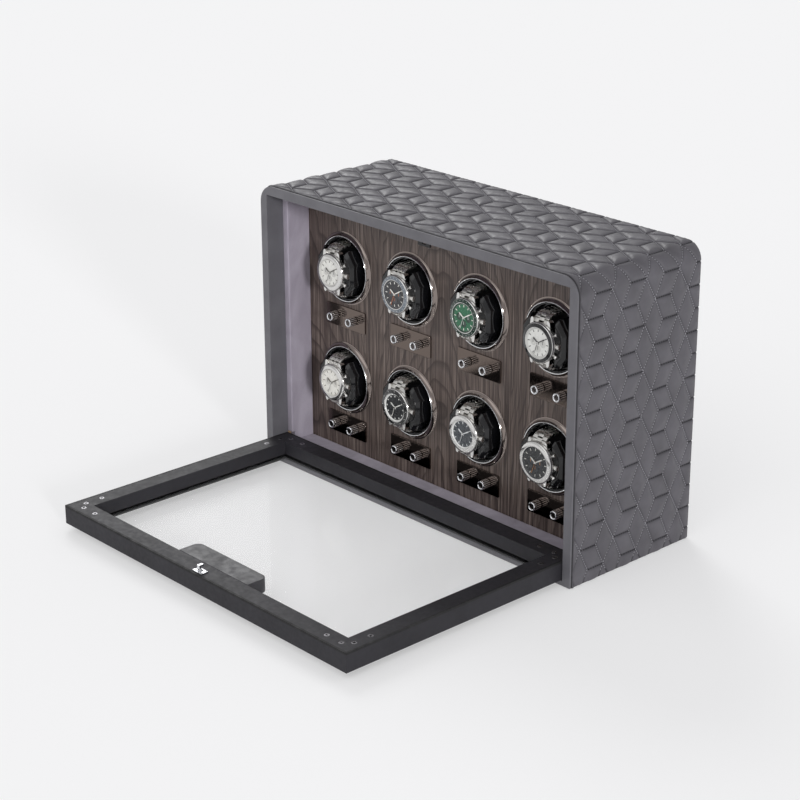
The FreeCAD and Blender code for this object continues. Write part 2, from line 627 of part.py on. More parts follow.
# ---------------------------------------------------------------- latch
def latch_plate():
    """Escutcheon around the hook's slot."""
    middle = LATCH_S - (LATCH_STEM + LATCH_TRAVEL) / 2
    half = LATCH_PLATE_DEPTH / 2
    plate = on_door(-LATCH_PLATE_WIDTH / 2, LATCH_PLATE_WIDTH / 2, middle - half, middle + half,
                    DOOR_THICK, DOOR_THICK + LATCH_PLATE)
    slot = on_door(-LATCH_HALF_WIDTH - LATCH_SLOT_GAP, LATCH_HALF_WIDTH + LATCH_SLOT_GAP,
                   LATCH_S - LATCH_STEM - LATCH_TRAVEL - LATCH_SLOT_GAP, LATCH_S + LATCH_SLOT_GAP,
                   DOOR_THICK, DOOR_THICK + LATCH_PLATE)
    return plate.cut(slot)


def latch_hook():
    """Hook that stands out of the inner face, with its slider inside the rail."""
    top = DOOR_THICK + LATCH_HEIGHT
    slider_top = CAVITY_TOP - LATCH_SLOT_GAP
    stem = on_door(-LATCH_HALF_WIDTH, LATCH_HALF_WIDTH, LATCH_S - LATCH_STEM, LATCH_S,
                   slider_top - SLIDER, top)
    nose = on_door(-LATCH_HALF_WIDTH, LATCH_HALF_WIDTH, LATCH_S - LATCH_STEM - NOSE_LENGTH,
                   LATCH_S - LATCH_STEM,
                   top - NOSE, top)
    slider = on_door(-SLIDER_HALF_WIDTH, SLIDER_HALF_WIDTH, LATCH_S - LATCH_STEM - SLIDER_SHORT, LATCH_S,
                     slider_top - SLIDER, slider_top)
    return stem.fuse([nose, slider]).removeSplitter()


def latch_keeper():
    """Folded bracket under the top liner; its cross bar is what the closed door's hook drops behind."""
    liner_face = TOP_IN - LINER
    bar_back = HOOK_END_CLOSED - NOSE - KEEPER_CLEARANCE
    bar_front = bar_back - KEEPER_BAR
    bar_top = HOOK_TOP_CLOSED - LATCH_STEM - NOSE_LENGTH - KEEPER_CLEARANCE
    wide = KEEPER_HALF_WIDTH
    loop = block(-wide, wide, bar_front, bar_back, bar_top - KEEPER_BAR, liner_face)
    plate = block(-wide, wide, bar_front, bar_front + KEEPER_PLATE_DEPTH,
                  liner_face - KEEPER_SHEET, liner_face)
    window_half = LATCH_HALF_WIDTH + POCKET_GAP
    window = block(-window_half, window_half, bar_front, HOOK_END_CLOSED + POCKET_GAP,
                   bar_top, liner_face)
    return loop.fuse(plate).cut(window).removeSplitter()


# ---------------------------------------------------------------- build
def sub_parts():
    """Every node's solids, by node name."""
    nodes = {
        "base_felt": [block(-HALF_WIDTH + FELT_INSET, HALF_WIDTH - FELT_INSET, FRONT + FELT_INSET,
                            BACK - FELT_INSET, 0, FELT)],
        "quilted_cover": [quilted_cover()],
        "front_trim": [front_trim()],
        "liner_panels": liner_panels(),
        "back_cover": [back_cover()],
        "back_screws": back_screws(),
        "hinge_bushes": hinge_bushes(),
        "power_inlet": [power_inlet()],
        "control_board": control_board(),
        "winder_panel": [winder_panel()],
        "bezel_rings": [bezel_ring(x, z) for x, z in stations()],
        "cup_housings": [cup_housing(x, z) for x, z in stations()],
        "gear_motors": [gear_motor(x, z) for x, z in stations()],
        "knob_plates": [knob_plate(pair) for pair in knob_places()],
        "selector_switches": [selector_switch(x, z) for pair in knob_places() for x, z in pair],
        "corner_keys": corner_keys(),
        "corner_screws": corner_screws(),
        "door_glass": [door_glass()],
        "door_seals": door_seals(),
        "lock_housing": [lock_housing()],
        "latch_plate": [latch_plate()],
        "latch_hook": [latch_hook()],
        "latch_keeper": [latch_keeper()],
    }
    nodes.update(case_boards())
    nodes.update(door_bars())
    for number, ((x, z), (left, right)) in enumerate(zip(stations(), knob_places()), start=1):
        nodes[f"rotor_cup_{number}"] = [rotor_cup(x, z)]
        nodes[f"watch_holder_{number}"] = watch_holder(x, z)
        nodes[f"direction_knob_{number}"] = [knob(*left)]
        nodes[f"turns_knob_{number}"] = [knob(*right)]
    return nodes


def main():
    """Write one STEP file for each node."""
    os.makedirs("parts", exist_ok=True)
    for name, solids in sub_parts().items():
        shape = solids[0] if len(solids) == 1 else Part.makeCompound(solids)
        shape.exportStep(f"parts/{name}.step")


main()
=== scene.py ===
"""Looks of the watch winder box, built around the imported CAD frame.

Metres, in the CAD's own frame: +Z up, the glazed front faces -Y, +X is to the right.
Shapes are drawn in millimetres and turned to metres when their mesh is made.
"""

import logging
import math
from contextlib import contextmanager
from dataclasses import dataclass, field
from enum import Enum
from typing import Callable, Iterable, Iterator, Sequence

import bmesh
import bpy
from mathutils import Matrix, Vector


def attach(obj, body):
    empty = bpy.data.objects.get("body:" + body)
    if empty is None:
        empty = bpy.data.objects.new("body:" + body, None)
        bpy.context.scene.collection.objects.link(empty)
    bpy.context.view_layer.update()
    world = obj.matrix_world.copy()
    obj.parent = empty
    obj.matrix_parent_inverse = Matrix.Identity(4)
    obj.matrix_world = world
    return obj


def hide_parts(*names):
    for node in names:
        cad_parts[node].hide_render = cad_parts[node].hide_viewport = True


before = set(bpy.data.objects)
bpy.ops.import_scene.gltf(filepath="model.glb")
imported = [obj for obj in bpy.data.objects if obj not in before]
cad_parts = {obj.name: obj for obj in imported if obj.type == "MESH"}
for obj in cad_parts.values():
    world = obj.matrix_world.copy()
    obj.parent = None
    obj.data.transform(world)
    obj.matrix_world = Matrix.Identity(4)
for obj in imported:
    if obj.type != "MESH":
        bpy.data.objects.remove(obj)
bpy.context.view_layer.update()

LOG = logging.getLogger("winder")
MM = 0.001
CRISP = 35.0                 # degrees; edges sharper than this stay crisp in the shading
Point = tuple[float, ...]
Socket = bpy.types.NodeSocket

# ---------------------------------------------------------------- sizes shared by the pieces, in mm
FRONT, BACK = -92.0, 92.0
HALF_WIDTH, HEIGHT, CORNER = 240.0, 327.0, 20.0
COVER, FELT = 3.0, 1.0
COLUMNS = (-159.75, -53.25, 53.25, 159.75)
ROWS = (235.5, 105.5)
STATIONS = tuple((x, z) for z in ROWS for x in COLUMNS)
KNOB_DROP, KNOB_HALF_SPACING = 58.0, 15.5
PANEL_FACE = -37.0


# ---------------------------------------------------------------- node and colour helpers
def linear(code: str) -> tuple[float, float, float, float]:
    """Turn an sRGB hex code into a linear colour.

    Args:
        code: Six hex digits after a hash sign.

    Returns:
        Red, green, blue and an alpha of one.
    """
    parts = [int(code[i:i + 2], 16) / 255 for i in (1, 3, 5)]
    red, green, blue = (c / 12.92 if c <= 0.04045 else ((c + 0.055) / 1.055) ** 2.4 for c in parts)
    return red, green, blue, 1.0


def add_node(tree: bpy.types.NodeTree, kind: str, inputs: dict | None = None, **settings) -> bpy.types.Node:
    """Add a node with its settings, its socket values and its links.

    Args:
        tree: Node tree that takes the node.
        kind: The node's type name.
        inputs: Socket name or index to a value, or to the output socket that feeds it.
        **settings: Properties of the node itself.

    Returns:
        The new node.
    """
    node = tree.nodes.new(kind)
    for key, value in settings.items():
        setattr(node, key, value)
    for key, value in (inputs or {}).items():
        if isinstance(value, bpy.types.NodeSocket):
            tree.links.new(value, node.inputs[key])
        else:
            node.inputs[key].default_value = value
    return node


# ---------------------------------------------------------------- finishes
class Paint:
    """A material under construction: its tree, its shader and the patterns that feed it."""

    def __init__(self, name: str, colour: str, roughness: float, **sockets) -> None:
        """Start a material from the shader's own sockets.

        Args:
            name: The material's name.
            colour: Base colour as an sRGB hex code.
            roughness: Base roughness.
            **sockets: Other shader sockets, with underscores for spaces.
        """
        self.material = bpy.data.materials.new(name)
        self.material.use_nodes = True
        self.tree = self.material.node_tree
        self.tree.nodes.clear()
        inputs = {"Base Color": linear(colour), "Roughness": roughness}
        inputs |= {key.replace("_", " "): value for key, value in sockets.items()}
        self.shader = add_node(self.tree, "ShaderNodeBsdfPrincipled", inputs)
        add_node(self.tree, "ShaderNodeOutputMaterial", {"Surface": self.shader.outputs[0]})
        self.place = add_node(self.tree, "ShaderNodeTexCoord").outputs["Object"]

    def stretched(self, x: float, y: float, z: float) -> Socket:
        """Object coordinates in units of the three sizes given in mm."""
        scale = tuple(1 / (size * MM) for size in (x, y, z))
        return add_node(self.tree, "ShaderNodeMapping", {"Vector": self.place, "Scale": scale}).outputs[0]

    def noise(self, size: float, detail: float = 3.0, place: Socket | None = None,
              distortion: float = 0.0) -> Socket:
        """Soft noise whose blotches are about size mm across."""
        inputs = {"Vector": place or self.stretched(size, size, size), "Scale": 1.0, "Detail": detail,
                  "Distortion": distortion}
        return add_node(self.tree, "ShaderNodeTexNoise", inputs).outputs[0]

    def cells(self, size: float) -> Socket:
        """Distance pattern of rounded cells about size mm across."""
        inputs = {"Vector": self.stretched(size, size, size), "Scale": 1.0}
        return add_node(self.tree, "ShaderNodeTexVoronoi", inputs).outputs["Distance"]

    def ramp(self, value: Socket, *stops: tuple[float, str]) -> Socket:
        """Colours at stops along a value."""
        node = add_node(self.tree, "ShaderNodeValToRGB", {0: value})
        elements = node.color_ramp.elements
        while len(elements) < len(stops):
            elements.new(0.5)
        for element, (position, code) in zip(elements, stops):
            element.position = position
            element.color = linear(code)
        return node.outputs[0]

    def spread(self, value: Socket, low: float, high: float, start: float = 0.3,
               end: float = 0.7) -> Socket:
        """The value from start to end, mapped to low to high."""
        inputs = {"Value": value, "From Min": start, "From Max": end, "To Min": low, "To Max": high}
        return add_node(self.tree, "ShaderNodeMapRange", inputs).outputs[0]

    def maths(self, operation: str, *values: object) -> Socket:
        """One arithmetic step."""
        return add_node(self.tree, "ShaderNodeMath", dict(enumerate(values)), operation=operation).outputs[0]

    def mixed(self, factor: object, first: object, second: object) -> Socket:
        """Mix two colours, each a socket or a linear colour."""
        inputs = {0: factor, 6: first, 7: second}
        return add_node(self.tree, "ShaderNodeMix", inputs, data_type="RGBA").outputs[2]

    def attribute(self, name: str) -> Socket:
        """A number stored on the mesh."""
        return add_node(self.tree, "ShaderNodeAttribute", attribute_name=name).outputs["Fac"]

    def colour(self, source: Socket) -> None:
        """Feed the base colour."""
        self.tree.links.new(source, self.shader.inputs["Base Color"])

    def roughness(self, source: Socket) -> None:
        """Feed the roughness."""
        self.tree.links.new(source, self.shader.inputs["Roughness"])

    def bump(self, height: Socket, depth: float, strength: float = 1.0) -> None:
        """Raise the surface by depth mm where the height is one."""
        older = self.shader.inputs["Normal"].links
        inputs = {"Height": height, "Distance": depth * MM, "Strength": strength}
        if older:
            inputs["Normal"] = older[0].from_socket
        node = add_node(self.tree, "ShaderNodeBump", inputs)
        self.tree.links.new(node.outputs[0], self.shader.inputs["Normal"])


@dataclass(frozen=True)
class Finish:
    """A named finish that makes its material once."""

    name: str
    colour: str
    roughness: float

    def material(self) -> bpy.types.Material:
        """The finish's material, made on first use."""
        return bpy.data.materials.get(self.name) or self.paint().material

    def paint(self) -> Paint:
        """A plain finish: slight wear in its gloss and a hair of unevenness."""
        paint = Paint(self.name, self.colour, self.roughness)
        paint.roughness(paint.spread(paint.noise(9.0), self.roughness * 0.85, self.roughness * 1.15))
        paint.bump(paint.noise(1.2), 0.02)
        return paint


@dataclass(frozen=True)
class Leather(Finish):
    """Imitation leather, pebble embossed with a satin topcoat: short soft highlights over fine grain."""

    light: str = "#6f6e72"
    grain: float = 1.1

    def paint(self) -> Paint:
        """Grey coat, embossed cells, with painted shade in the seam creases and in the groove by the front
        band.
        """
        paint = Paint(self.name, self.colour, self.roughness, Specular_IOR_Level=0.45)
        cloudy = paint.ramp(paint.noise(30.0, 4.0), (0.3, self.colour), (0.75, self.light))
        # painted shade: the coat darkens towards #242327 where the skin's stored shade is high, in the seam
        # creases and the groove by the front band
        painted_crease_shade = paint.attribute("painted_crease_shade")
        paint.colour(paint.mixed(painted_crease_shade, cloudy, linear("#242327")))
        gloss = paint.spread(paint.noise(6.0), self.roughness - 0.07, self.roughness + 0.07)
        # creases stay dull, where the topcoat is pulled in by the thread
        paint.roughness(paint.maths("MULTIPLY_ADD", paint.attribute("fold"), 0.4, gloss))
        # the real grain is 0.4 mm; drawn coarser so that it shows
        paint.bump(paint.cells(self.grain), 0.05)
        paint.bump(paint.noise(7.0, 4.0), 0.25)
        return paint


@dataclass(frozen=True)
class Suede(Finish):
    """Brushed microfibre suede: matt, with lighter and darker strokes where the nap lies differently."""

    light: str = "#8f8895"

    def paint(self) -> Paint:
        """Blotched nap over very fine fibre."""
        paint = Paint(self.name, self.colour, self.roughness, Specular_IOR_Level=0.2, Sheen_Weight=0.2,
                      Sheen_Roughness=0.45)
        strokes = paint.noise(1.0, 5.0, paint.stretched(26, 26, 60), 0.6)
        fibre = paint.noise(0.8, 2.0)
        base = paint.ramp(strokes, (0.3, self.colour), (0.72, self.light))
        paint.colour(paint.mixed(paint.spread(fibre, 0.0, 0.25), base, linear(self.colour)))
        paint.bump(fibre, 0.12)
        return paint


@dataclass(frozen=True)
class Veneer(Finish):
    """Open-pored dark veneer in wide leaves, satin lacquered: straight grain that rises into arches."""

    leaf: float = 206.0      # width of a leaf and its mirror image
    ring: float = 7.0        # spacing of the year rings
    wander: float = 34.0     # how far the grain strays sideways

    def paint(self) -> Paint:
        """Year rings of a log cut slightly aslant, fine vertical pores and slow colour drift."""
        paint = Paint(self.name, self.colour, self.roughness, Specular_IOR_Level=0.35)
        parts = add_node(paint.tree, "ShaderNodeSeparateXYZ", {0: paint.place})
        across, up = parts.outputs[0], parts.outputs[2]
        drift = paint.noise(1.0, 3.0, paint.stretched(38, 400, 150))
        stray = paint.maths("MULTIPLY", paint.maths("SUBTRACT", drift, 0.5), self.wander * MM)
        shifted = paint.maths("ADD", paint.maths("ADD", across, stray), (1.5 * self.leaf + 8) * MM)
        leaf = paint.maths("PINGPONG", shifted, self.leaf / 2 * MM)
        side = paint.maths("SUBTRACT", self.leaf / 2 * MM, leaf)
        wave = paint.maths("MULTIPLY", paint.noise(1.0, 2.0, paint.stretched(60, 60, 90)), 0.03)
        rise = paint.maths("ADD", paint.maths("MULTIPLY_ADD", up, 0.17, 0.012), wave)
        squares = [paint.maths("MULTIPLY", value, value) for value in (side, rise)]
        radius = paint.maths("SQRT", paint.maths("ADD", *squares))
        ring = paint.maths("FRACT", paint.maths("DIVIDE", radius, self.ring * MM))
        streak = paint.noise(1.0, 4.0, paint.stretched(1.5, 30, 90))
        broad = paint.noise(1.0, 3.0, paint.stretched(9, 30, 220))
        tone = paint.ramp(streak, (0.3, "#2e2523"), (0.43, "#4f4440"), (0.56, "#6c5f59"), (0.72, "#94877f"))
        tone = paint.mixed(paint.spread(broad, 0.0, 0.55), tone, linear("#4a3f3b"))
        line = paint.ramp(ring, (0.0, "#000000"), (0.62, "#1a1a1a"), (0.93, "#ffffff"), (1.0, "#303030"))
        paint.colour(paint.mixed(paint.maths("MULTIPLY", line, 0.72), tone, linear("#332a28")))
        pores = paint.noise(1.0, 2.0, paint.stretched(0.7, 10, 14))
        paint.roughness(paint.spread(streak, self.roughness - 0.06, self.roughness + 0.1))
        paint.bump(paint.spread(pores, 0.0, 1.0, 0.35, 0.5), 0.06)
        return paint


@dataclass(frozen=True)
class Metal(Finish):
    """Plated or polished metal; the brush length in mm draws its fine lines, none when it is nought."""

    brush: float = 0.0

    def paint(self) -> Paint:
        """Bright metal with handling haze, or fine lines along Z."""
        paint = Paint(self.name, self.colour, self.roughness, Metallic=1.0)
        haze = paint.noise(6.0, 4.0)
        paint.roughness(paint.spread(haze, self.roughness * 0.7, self.roughness * 1.5))
        if self.brush:
            paint.bump(paint.noise(1.0, 3.0, paint.stretched(0.25, 0.25, self.brush)), 0.03, 0.5)
        return paint


@dataclass(frozen=True)
class Anodised(Finish):
    """Black anodised aluminium, bead blasted: even satin with a faint grey bloom and fine grit."""

    def paint(self) -> Paint:
        """Dark oxide over fine grit."""
        paint = Paint(self.name, self.colour, self.roughness, Specular_IOR_Level=0.25)
        paint.colour(paint.ramp(paint.noise(45.0, 3.0), (0.3, self.colour), (0.8, "#2e2d32")))
        paint.roughness(paint.spread(paint.noise(5.0), self.roughness - 0.05, self.roughness + 0.08))
        # the grit is 0.1 mm; drawn coarser so that it shows
        paint.bump(paint.noise(0.7, 2.0), 0.02)
        return paint


@dataclass(frozen=True)
class Moulded(Finish):
    """Moulded plastic; the grain in mm is its texture, none on a gloss mould."""

    grain: float = 0.0

    def paint(self) -> Paint:
        """Plastic skin with slight flow marks."""
        paint = Paint(self.name, self.colour, self.roughness, Specular_IOR_Level=0.5)
        light = "#403f44" if self.grain else "#17171a"
        paint.colour(paint.ramp(paint.noise(20.0), (0.2, self.colour), (1.0, light)))
        paint.roughness(paint.spread(paint.noise(8.0), self.roughness * 0.8, self.roughness * 1.25))
        if self.grain:
            paint.bump(paint.cells(self.grain), 0.04)
        return paint


@dataclass(frozen=True)
class Pane(Finish):
    """Clear float glass."""

    def paint(self) -> Paint:
        """Clear glass with its surface reflection."""
        # mostly see-through, so that the pane hardly shades what lies under it
        return Paint(self.name, self.colour, self.roughness, Transmission_Weight=1.0, IOR=1.52,
                     Specular_IOR_Level=1.0, Alpha=0.06)


@dataclass(frozen=True)
class Enamel(Finish):
    """Lacquered dial, printed mark or solder mask: an even colour under a thin clear coat."""

    def paint(self) -> Paint:
        """Lacquer colour with slight unevenness."""
        paint = Paint(self.name, self.colour, self.roughness, Coat_Weight=0.3, Coat_Roughness=0.05)
        paint.roughness(paint.spread(paint.noise(3.0), self.roughness * 0.8, self.roughness * 1.2))
        paint.bump(paint.noise(0.8, 2.0), 0.01)
        return paint


QUILT = Leather("imitation_leather_quilted", "#49474c", 0.43, "#59575d")
BAND = Leather("imitation_leather_band", "#5c5b60", 0.44, "#68676c")
BACK_SKIN = Leather("imitation_leather_back", "#545358", 0.5, "#5b5a5f")
THREAD = Finish("polyester_thread", "#9b9aa0", 0.5)
# the same thread painted darker: painted shade where the bar seams sink into their creases
SHADED_THREAD = Finish("polyester_thread_painted_crease_shade", "#4a494e", 0.6)
NEEDLE_HOLE = Finish("needle_hole_shadow", "#1d1c20", 0.9)
SUEDE = Suede("microfibre_suede", "#938c98", 0.95, "#b3acb9")
WOOD = Veneer("dark_open_pored_veneer", "#54463f", 0.42)
CHROME = Metal("chrome_plated_brass", "#e2e3e6", 0.06)
MIRROR = Metal("smoked_mirror_steel", "#6c615b", 0.05, 14.0)
KNOB_FACE = Metal("smoked_knob_face", "#4f4a48", 0.12)
# the rings' one chrome in two copies: the lip rougher, which spreads real glints, and a little lighter as a
# painted highlight; the flank darker and warmer as painted shade and wood reflection
LIP = Metal("chrome_plated_lip", "#eeeff1", 0.15)
SHADED_FLANK = Metal("ring_chrome_painted_shade_flank", "#8a807b", 0.1)
STEEL = Metal("polished_watch_steel", "#d5d4d2", 0.13)
STEEL_SATIN = Metal("brushed_watch_steel", "#dad8d4", 0.24, 6.0)
FLUTES = Metal("satin_chrome_flutes", "#f2f2f3", 0.3)
PLAIN_STEEL = Metal("plain_steel", "#a5a5a8", 0.35, 8.0)
SCREW_STEEL = Metal("darkened_screw_steel", "#7d7c7f", 0.25)
BLACK_OXIDE = Finish("black_oxide_steel", "#151416", 0.45)
BRASS = Metal("turned_brass", "#c9a35c", 0.25)
KEY_ALUMINIUM = Metal("mill_aluminium", "#b9babd", 0.35, 10.0)
BARS = Anodised("black_anodised_aluminium", "#252428", 0.5)
GLOSS = Moulded("gloss_black_abs", "#0b0b0d", 0.1)
WELL = Moulded("satin_black_abs", "#0c0c0e", 0.22)
LOCK_SKIN = Moulded("satin_grey_abs", "#262529", 0.46, 0.9)
SWITCH_SKIN = Moulded("matt_black_nylon", "#1b1b1d", 0.55, 0.9)
CIRCUIT = Enamel("solder_mask_green", "#1f5a35", 0.4)
PANE = Pane("clear_float_glass", "#f3f6f7", 0.0)
SEAL = Finish("black_epdm_seal", "#0d0c0e", 0.7)
FELT_SKIN = Suede("dark_wool_felt", "#2b2a2c", 0.98, "#3a383b")
BOARD = Finish("bare_fibreboard", "#9c8264", 0.8)
CUSHION_SKIN = Suede("black_velour", "#141317", 0.9, "#232127")


def printed(code: str, roughness: float = 0.35) -> Enamel:
    """Printed or lacquered marks in one colour."""
    return Enamel(f"print_{code[1:]}", code, roughness)


# ---------------------------------------------------------------- mesh helpers
def place_at(x: float, y: float, z: float) -> Matrix:
    """A place whose local x is right, local y is up and local z comes out of the front."""
    return Matrix(((1, 0, 0, x), (0, 0, -1, y), (0, 1, 0, z), (0, 0, 0, 1)))


def rounded(outline: Sequence[Point], radius: float, steps: int = 3) -> list[Point]:
    """Round every corner of a closed 2-D outline.

    Args:
        outline: Corner points.
        radius: Corner radius; shorter next to short sides.
        steps: Segments in each corner.

    Returns:
        The rounded outline.
    """
    result: list[Point] = []
    count = len(outline)
    for index in range(count):
        before, here, after = (Vector(outline[(index + k) % count]) for k in (-1, 0, 1))
        cut = min(radius, (before - here).length * 0.45, (after - here).length * 0.45)
        start, end = here + (before - here).normalized() * cut, here + (after - here).normalized() * cut
        for step in range(steps + 1):
            share = step / steps
            curve = start.lerp(here, share).lerp(here.lerp(end, share), share)
            result.append((curve.x, curve.y))
    return result


def bands(rows: Sequence[Sequence[int]]) -> list[list[int]]:
    """Faces between neighbouring closed rows of point numbers.

    Args:
        rows: Rows of equal length; a row that repeats one number is a point on the axis.

    Returns:
        Four-sided faces, and triangles beside an axis.
    """
    faces = []
    for row, after in zip(rows, rows[1:]):
        for here in range(len(row)):
            there = (here + 1) % len(row)
            face = list(dict.fromkeys((row[here], row[there], after[there], after[here])))
            if len(face) > 2:
                faces.append(face)
    return faces


@contextmanager
def edited(mesh: bpy.types.Mesh, source: bpy.types.Mesh | None = None) -> Iterator[bmesh.types.BMesh]:
    """Open a mesh for editing, or fill it from an edited copy of the source."""
    shell = bmesh.new()
    shell.from_mesh(source or mesh)
    yield shell
    shell.to_mesh(mesh)
    shell.free()


class Pen:
    """Collects closed shapes, in mm, and turns them into one mesh."""

    def __init__(self, place: Matrix | None = None) -> None:
        """Start an empty mesh whose local frame is place."""
        self.place = place or Matrix.Identity(4)
        self.points: list[Vector] = []
        self.faces: list[list[int]] = []
        self.marks: list[int] = []
        self.finishes: list[Finish] = []

    def add(self, points: Iterable[Sequence[float]], faces: Iterable[Sequence[int]], finish: Finish) -> None:
        """Add points and faces in one finish."""
        if finish not in self.finishes:
            self.finishes.append(finish)
        base, mark = len(self.points), self.finishes.index(finish)
        self.points += [self.place @ Vector(point) for point in points]
        for face in faces:
            self.faces.append([base + index for index in face])
            self.marks.append(mark)

    def lathe(self, profile: Sequence[Point], finish: Finish, segments: int = 64,
              centre: Point = (0.0, 0.0), turn: Matrix | None = None,
              swell: Callable[[float], float] | None = None) -> None:
        """Turn a closed profile of (radius, height) about the local z axis.

        Args:
            profile: Outline points; those at radius nought close on the axis.
            finish: The shape's finish.
            segments: Steps round the circle.
            centre: Local x and y of the axis.
            turn: Extra placement before the pen's own.
            swell: Factor on the radius at an angle, for flutes.
        """
        turn = turn or Matrix.Identity(4)
        points: list[Vector] = []
        rows: list[list[int]] = []
        for radius, height in profile:
            if radius < 1e-6:
                rows.append([len(points)] * segments)
                points.append(turn @ Vector((centre[0], centre[1], height)))
                continue
            row = []
            for step in range(segments):
                angle = 2 * math.pi * step / segments
                wide = radius * (swell(angle) if swell else 1.0)
                row.append(len(points))
                points.append(turn @ Vector((centre[0] + wide * math.cos(angle),
                                             centre[1] + wide * math.sin(angle), height)))
            rows.append(row)
        self.add(points, bands([*rows, rows[0]]), finish)

    def prism(self, outline: Sequence[Point], low: float, high: float, finish: Finish,
              turn: Matrix | None = None) -> None:
        """A 2-D outline carried along local z from low to high."""
        turn = turn or Matrix.Identity(4)
        self.loft([[turn @ Vector((x, y, height)) for x, y in outline] for height in (low, high)], finish)

    def loft(self, rings: Sequence[Sequence[Sequence[float]]], finish: Finish) -> None:
        """A skin over closed rings of equal length, with both ends closed."""
        count = len(rings[0])
        rows = [list(range(start, start + count)) for start in range(0, count * len(rings), count)]
        self.add([point for ring in rings for point in ring], [rows[0][::-1], rows[-1], *bands(rows)], finish)

    def build(self, name: str, smooth: float = CRISP) -> bpy.types.Object:
        """Make the object, with normals outwards and edges over the smooth angle kept sharp."""
        mesh = bpy.data.meshes.new(name)
        mesh.from_pydata([point * MM for point in self.points], [], self.faces)
        for finish in self.finishes:
            mesh.materials.append(finish.material())
        mesh.polygons.foreach_set("material_index", self.marks)
        with edited(mesh) as shell:
            bmesh.ops.recalc_face_normals(shell, faces=shell.faces)
        shade(mesh, smooth)
        return link(bpy.data.objects.new(name, mesh))


def shade(mesh: bpy.types.Mesh, angle: float) -> None:
    """Smooth faces, with edges sharper than the angle left crisp."""
    mesh.shade_smooth()
    mesh.set_sharp_from_angle(angle=math.radians(angle))


def link(piece: bpy.types.Object) -> bpy.types.Object:
    """Put an object into the scene."""
    bpy.context.scene.collection.objects.link(piece)
    return piece


def applied(piece: bpy.types.Object) -> bpy.types.Object:
    """Turn the evaluated object into a plain mesh and drop its modifiers."""
    graph = bpy.context.evaluated_depsgraph_get()
    mesh = bpy.data.meshes.new_from_object(piece.evaluated_get(graph))
    piece.modifiers.clear()
    piece.data = mesh
    return piece


def seat(piece: bpy.types.Object, body: str, slot: str, *nodes: str) -> bpy.types.Object:
    """Let a finished piece ride on its body and stand for CAD nodes.

    Args:
        piece: The finished object.
        body: CAD body that carries it.
        slot: The record's material slot; not used.
        *nodes: CAD nodes that it stands for.

    Returns:
        The same object.
    """
    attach(piece, body)
    if nodes:
        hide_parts(*nodes)
    LOG.info("%s on %s, %d faces", piece.name, body, len(piece.data.polygons))
    return piece


def dress(node: str, finish: Finish) -> None:
    """Give a CAD node that stays a better material."""
    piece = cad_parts[node]
    if not piece.material_slots:
        piece.data.materials.append(finish.material())
    for slot in piece.material_slots:
        slot.material = finish.material()


def softened(node: str, name: str, finish: Finish, width: float, segments: int = 2,
             keep: Callable[[Vector, Vector], bool] | None = None) -> bpy.types.Object:
    """A copy of a CAD node with its edges rounded.

    Args:
        node: The CAD node.
        name: Name of the copy.
        finish: Its finish.
        width: Size of the rounding in mm.
        segments: Steps in the rounding.
        keep: Test on the lowest and highest corner of each loose part; parts that fail are left out.

    Returns:
        The rounded copy.
    """
    mesh = bpy.data.meshes.new(name)
    with edited(mesh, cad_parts[node].data) as shell:
        bmesh.ops.remove_doubles(shell, verts=shell.verts, dist=1e-5)
        for part in loose_parts(shell):
            if keep and not keep(*part_box(part)):
                bmesh.ops.delete(shell, geom=part, context="VERTS")
        bmesh.ops.dissolve_limit(shell, angle_limit=math.radians(0.3), verts=shell.verts, edges=shell.edges)
    mesh.materials.clear()
    mesh.materials.append(finish.material())
    return eased(link(bpy.data.objects.new(name, mesh)), width, segments)


def eased(piece: bpy.types.Object, width: float, segments: int) -> bpy.types.Object:
    """Round the edges of a piece.

    Args:
        piece: The object, a plain mesh.
        width: Size of the rounding in mm.
        segments: Steps in the rounding.

    Returns:
        The same object.
    """
    bevel = piece.modifiers.new("rounding", "BEVEL")
    bevel.width, bevel.segments = width * MM, segments
    bevel.limit_method, bevel.angle_limit = "ANGLE", math.radians(CRISP)
    bevel.use_clamp_overlap = True
    applied(piece)
    piece.data.polygons.foreach_set("material_index", [0] * len(piece.data.polygons))
    shade(piece.data, CRISP)
    weighted = piece.modifiers.new("even_shading", "WEIGHTED_NORMAL")
    weighted.keep_sharp = True
    return applied(piece)


def loose_parts(shell: bmesh.types.BMesh) -> list[list[bmesh.types.BMVert]]:
    """The vertices of every part that hangs together."""
    parts, seen = [], set()
    for first in shell.verts:
        if first in seen:
            continue
        part, waiting = [], [first]
        seen.add(first)
        while waiting:
            vert = waiting.pop()
            part.append(vert)
            for other in (edge.other_vert(vert) for edge in vert.link_edges):
                if other not in seen:
                    seen.add(other)
                    waiting.append(other)
        parts.append(part)
    return parts


def part_box(part: list[bmesh.types.BMVert]) -> tuple[Vector, Vector]:
    """Lowest and highest corner of a part."""
    spots = [vert.co for vert in part]
    return Vector(map(min, zip(*spots))), Vector(map(max, zip(*spots)))


# ---------------------------------------------------------------- repeats, made with geometry nodes
class Repeat(Enum):
    """How copies of a unit are set out."""

    PATH = "copies_along_paths"
    PLACES = "copies_at_places"
    CIRCLE = "copies_round_circle"


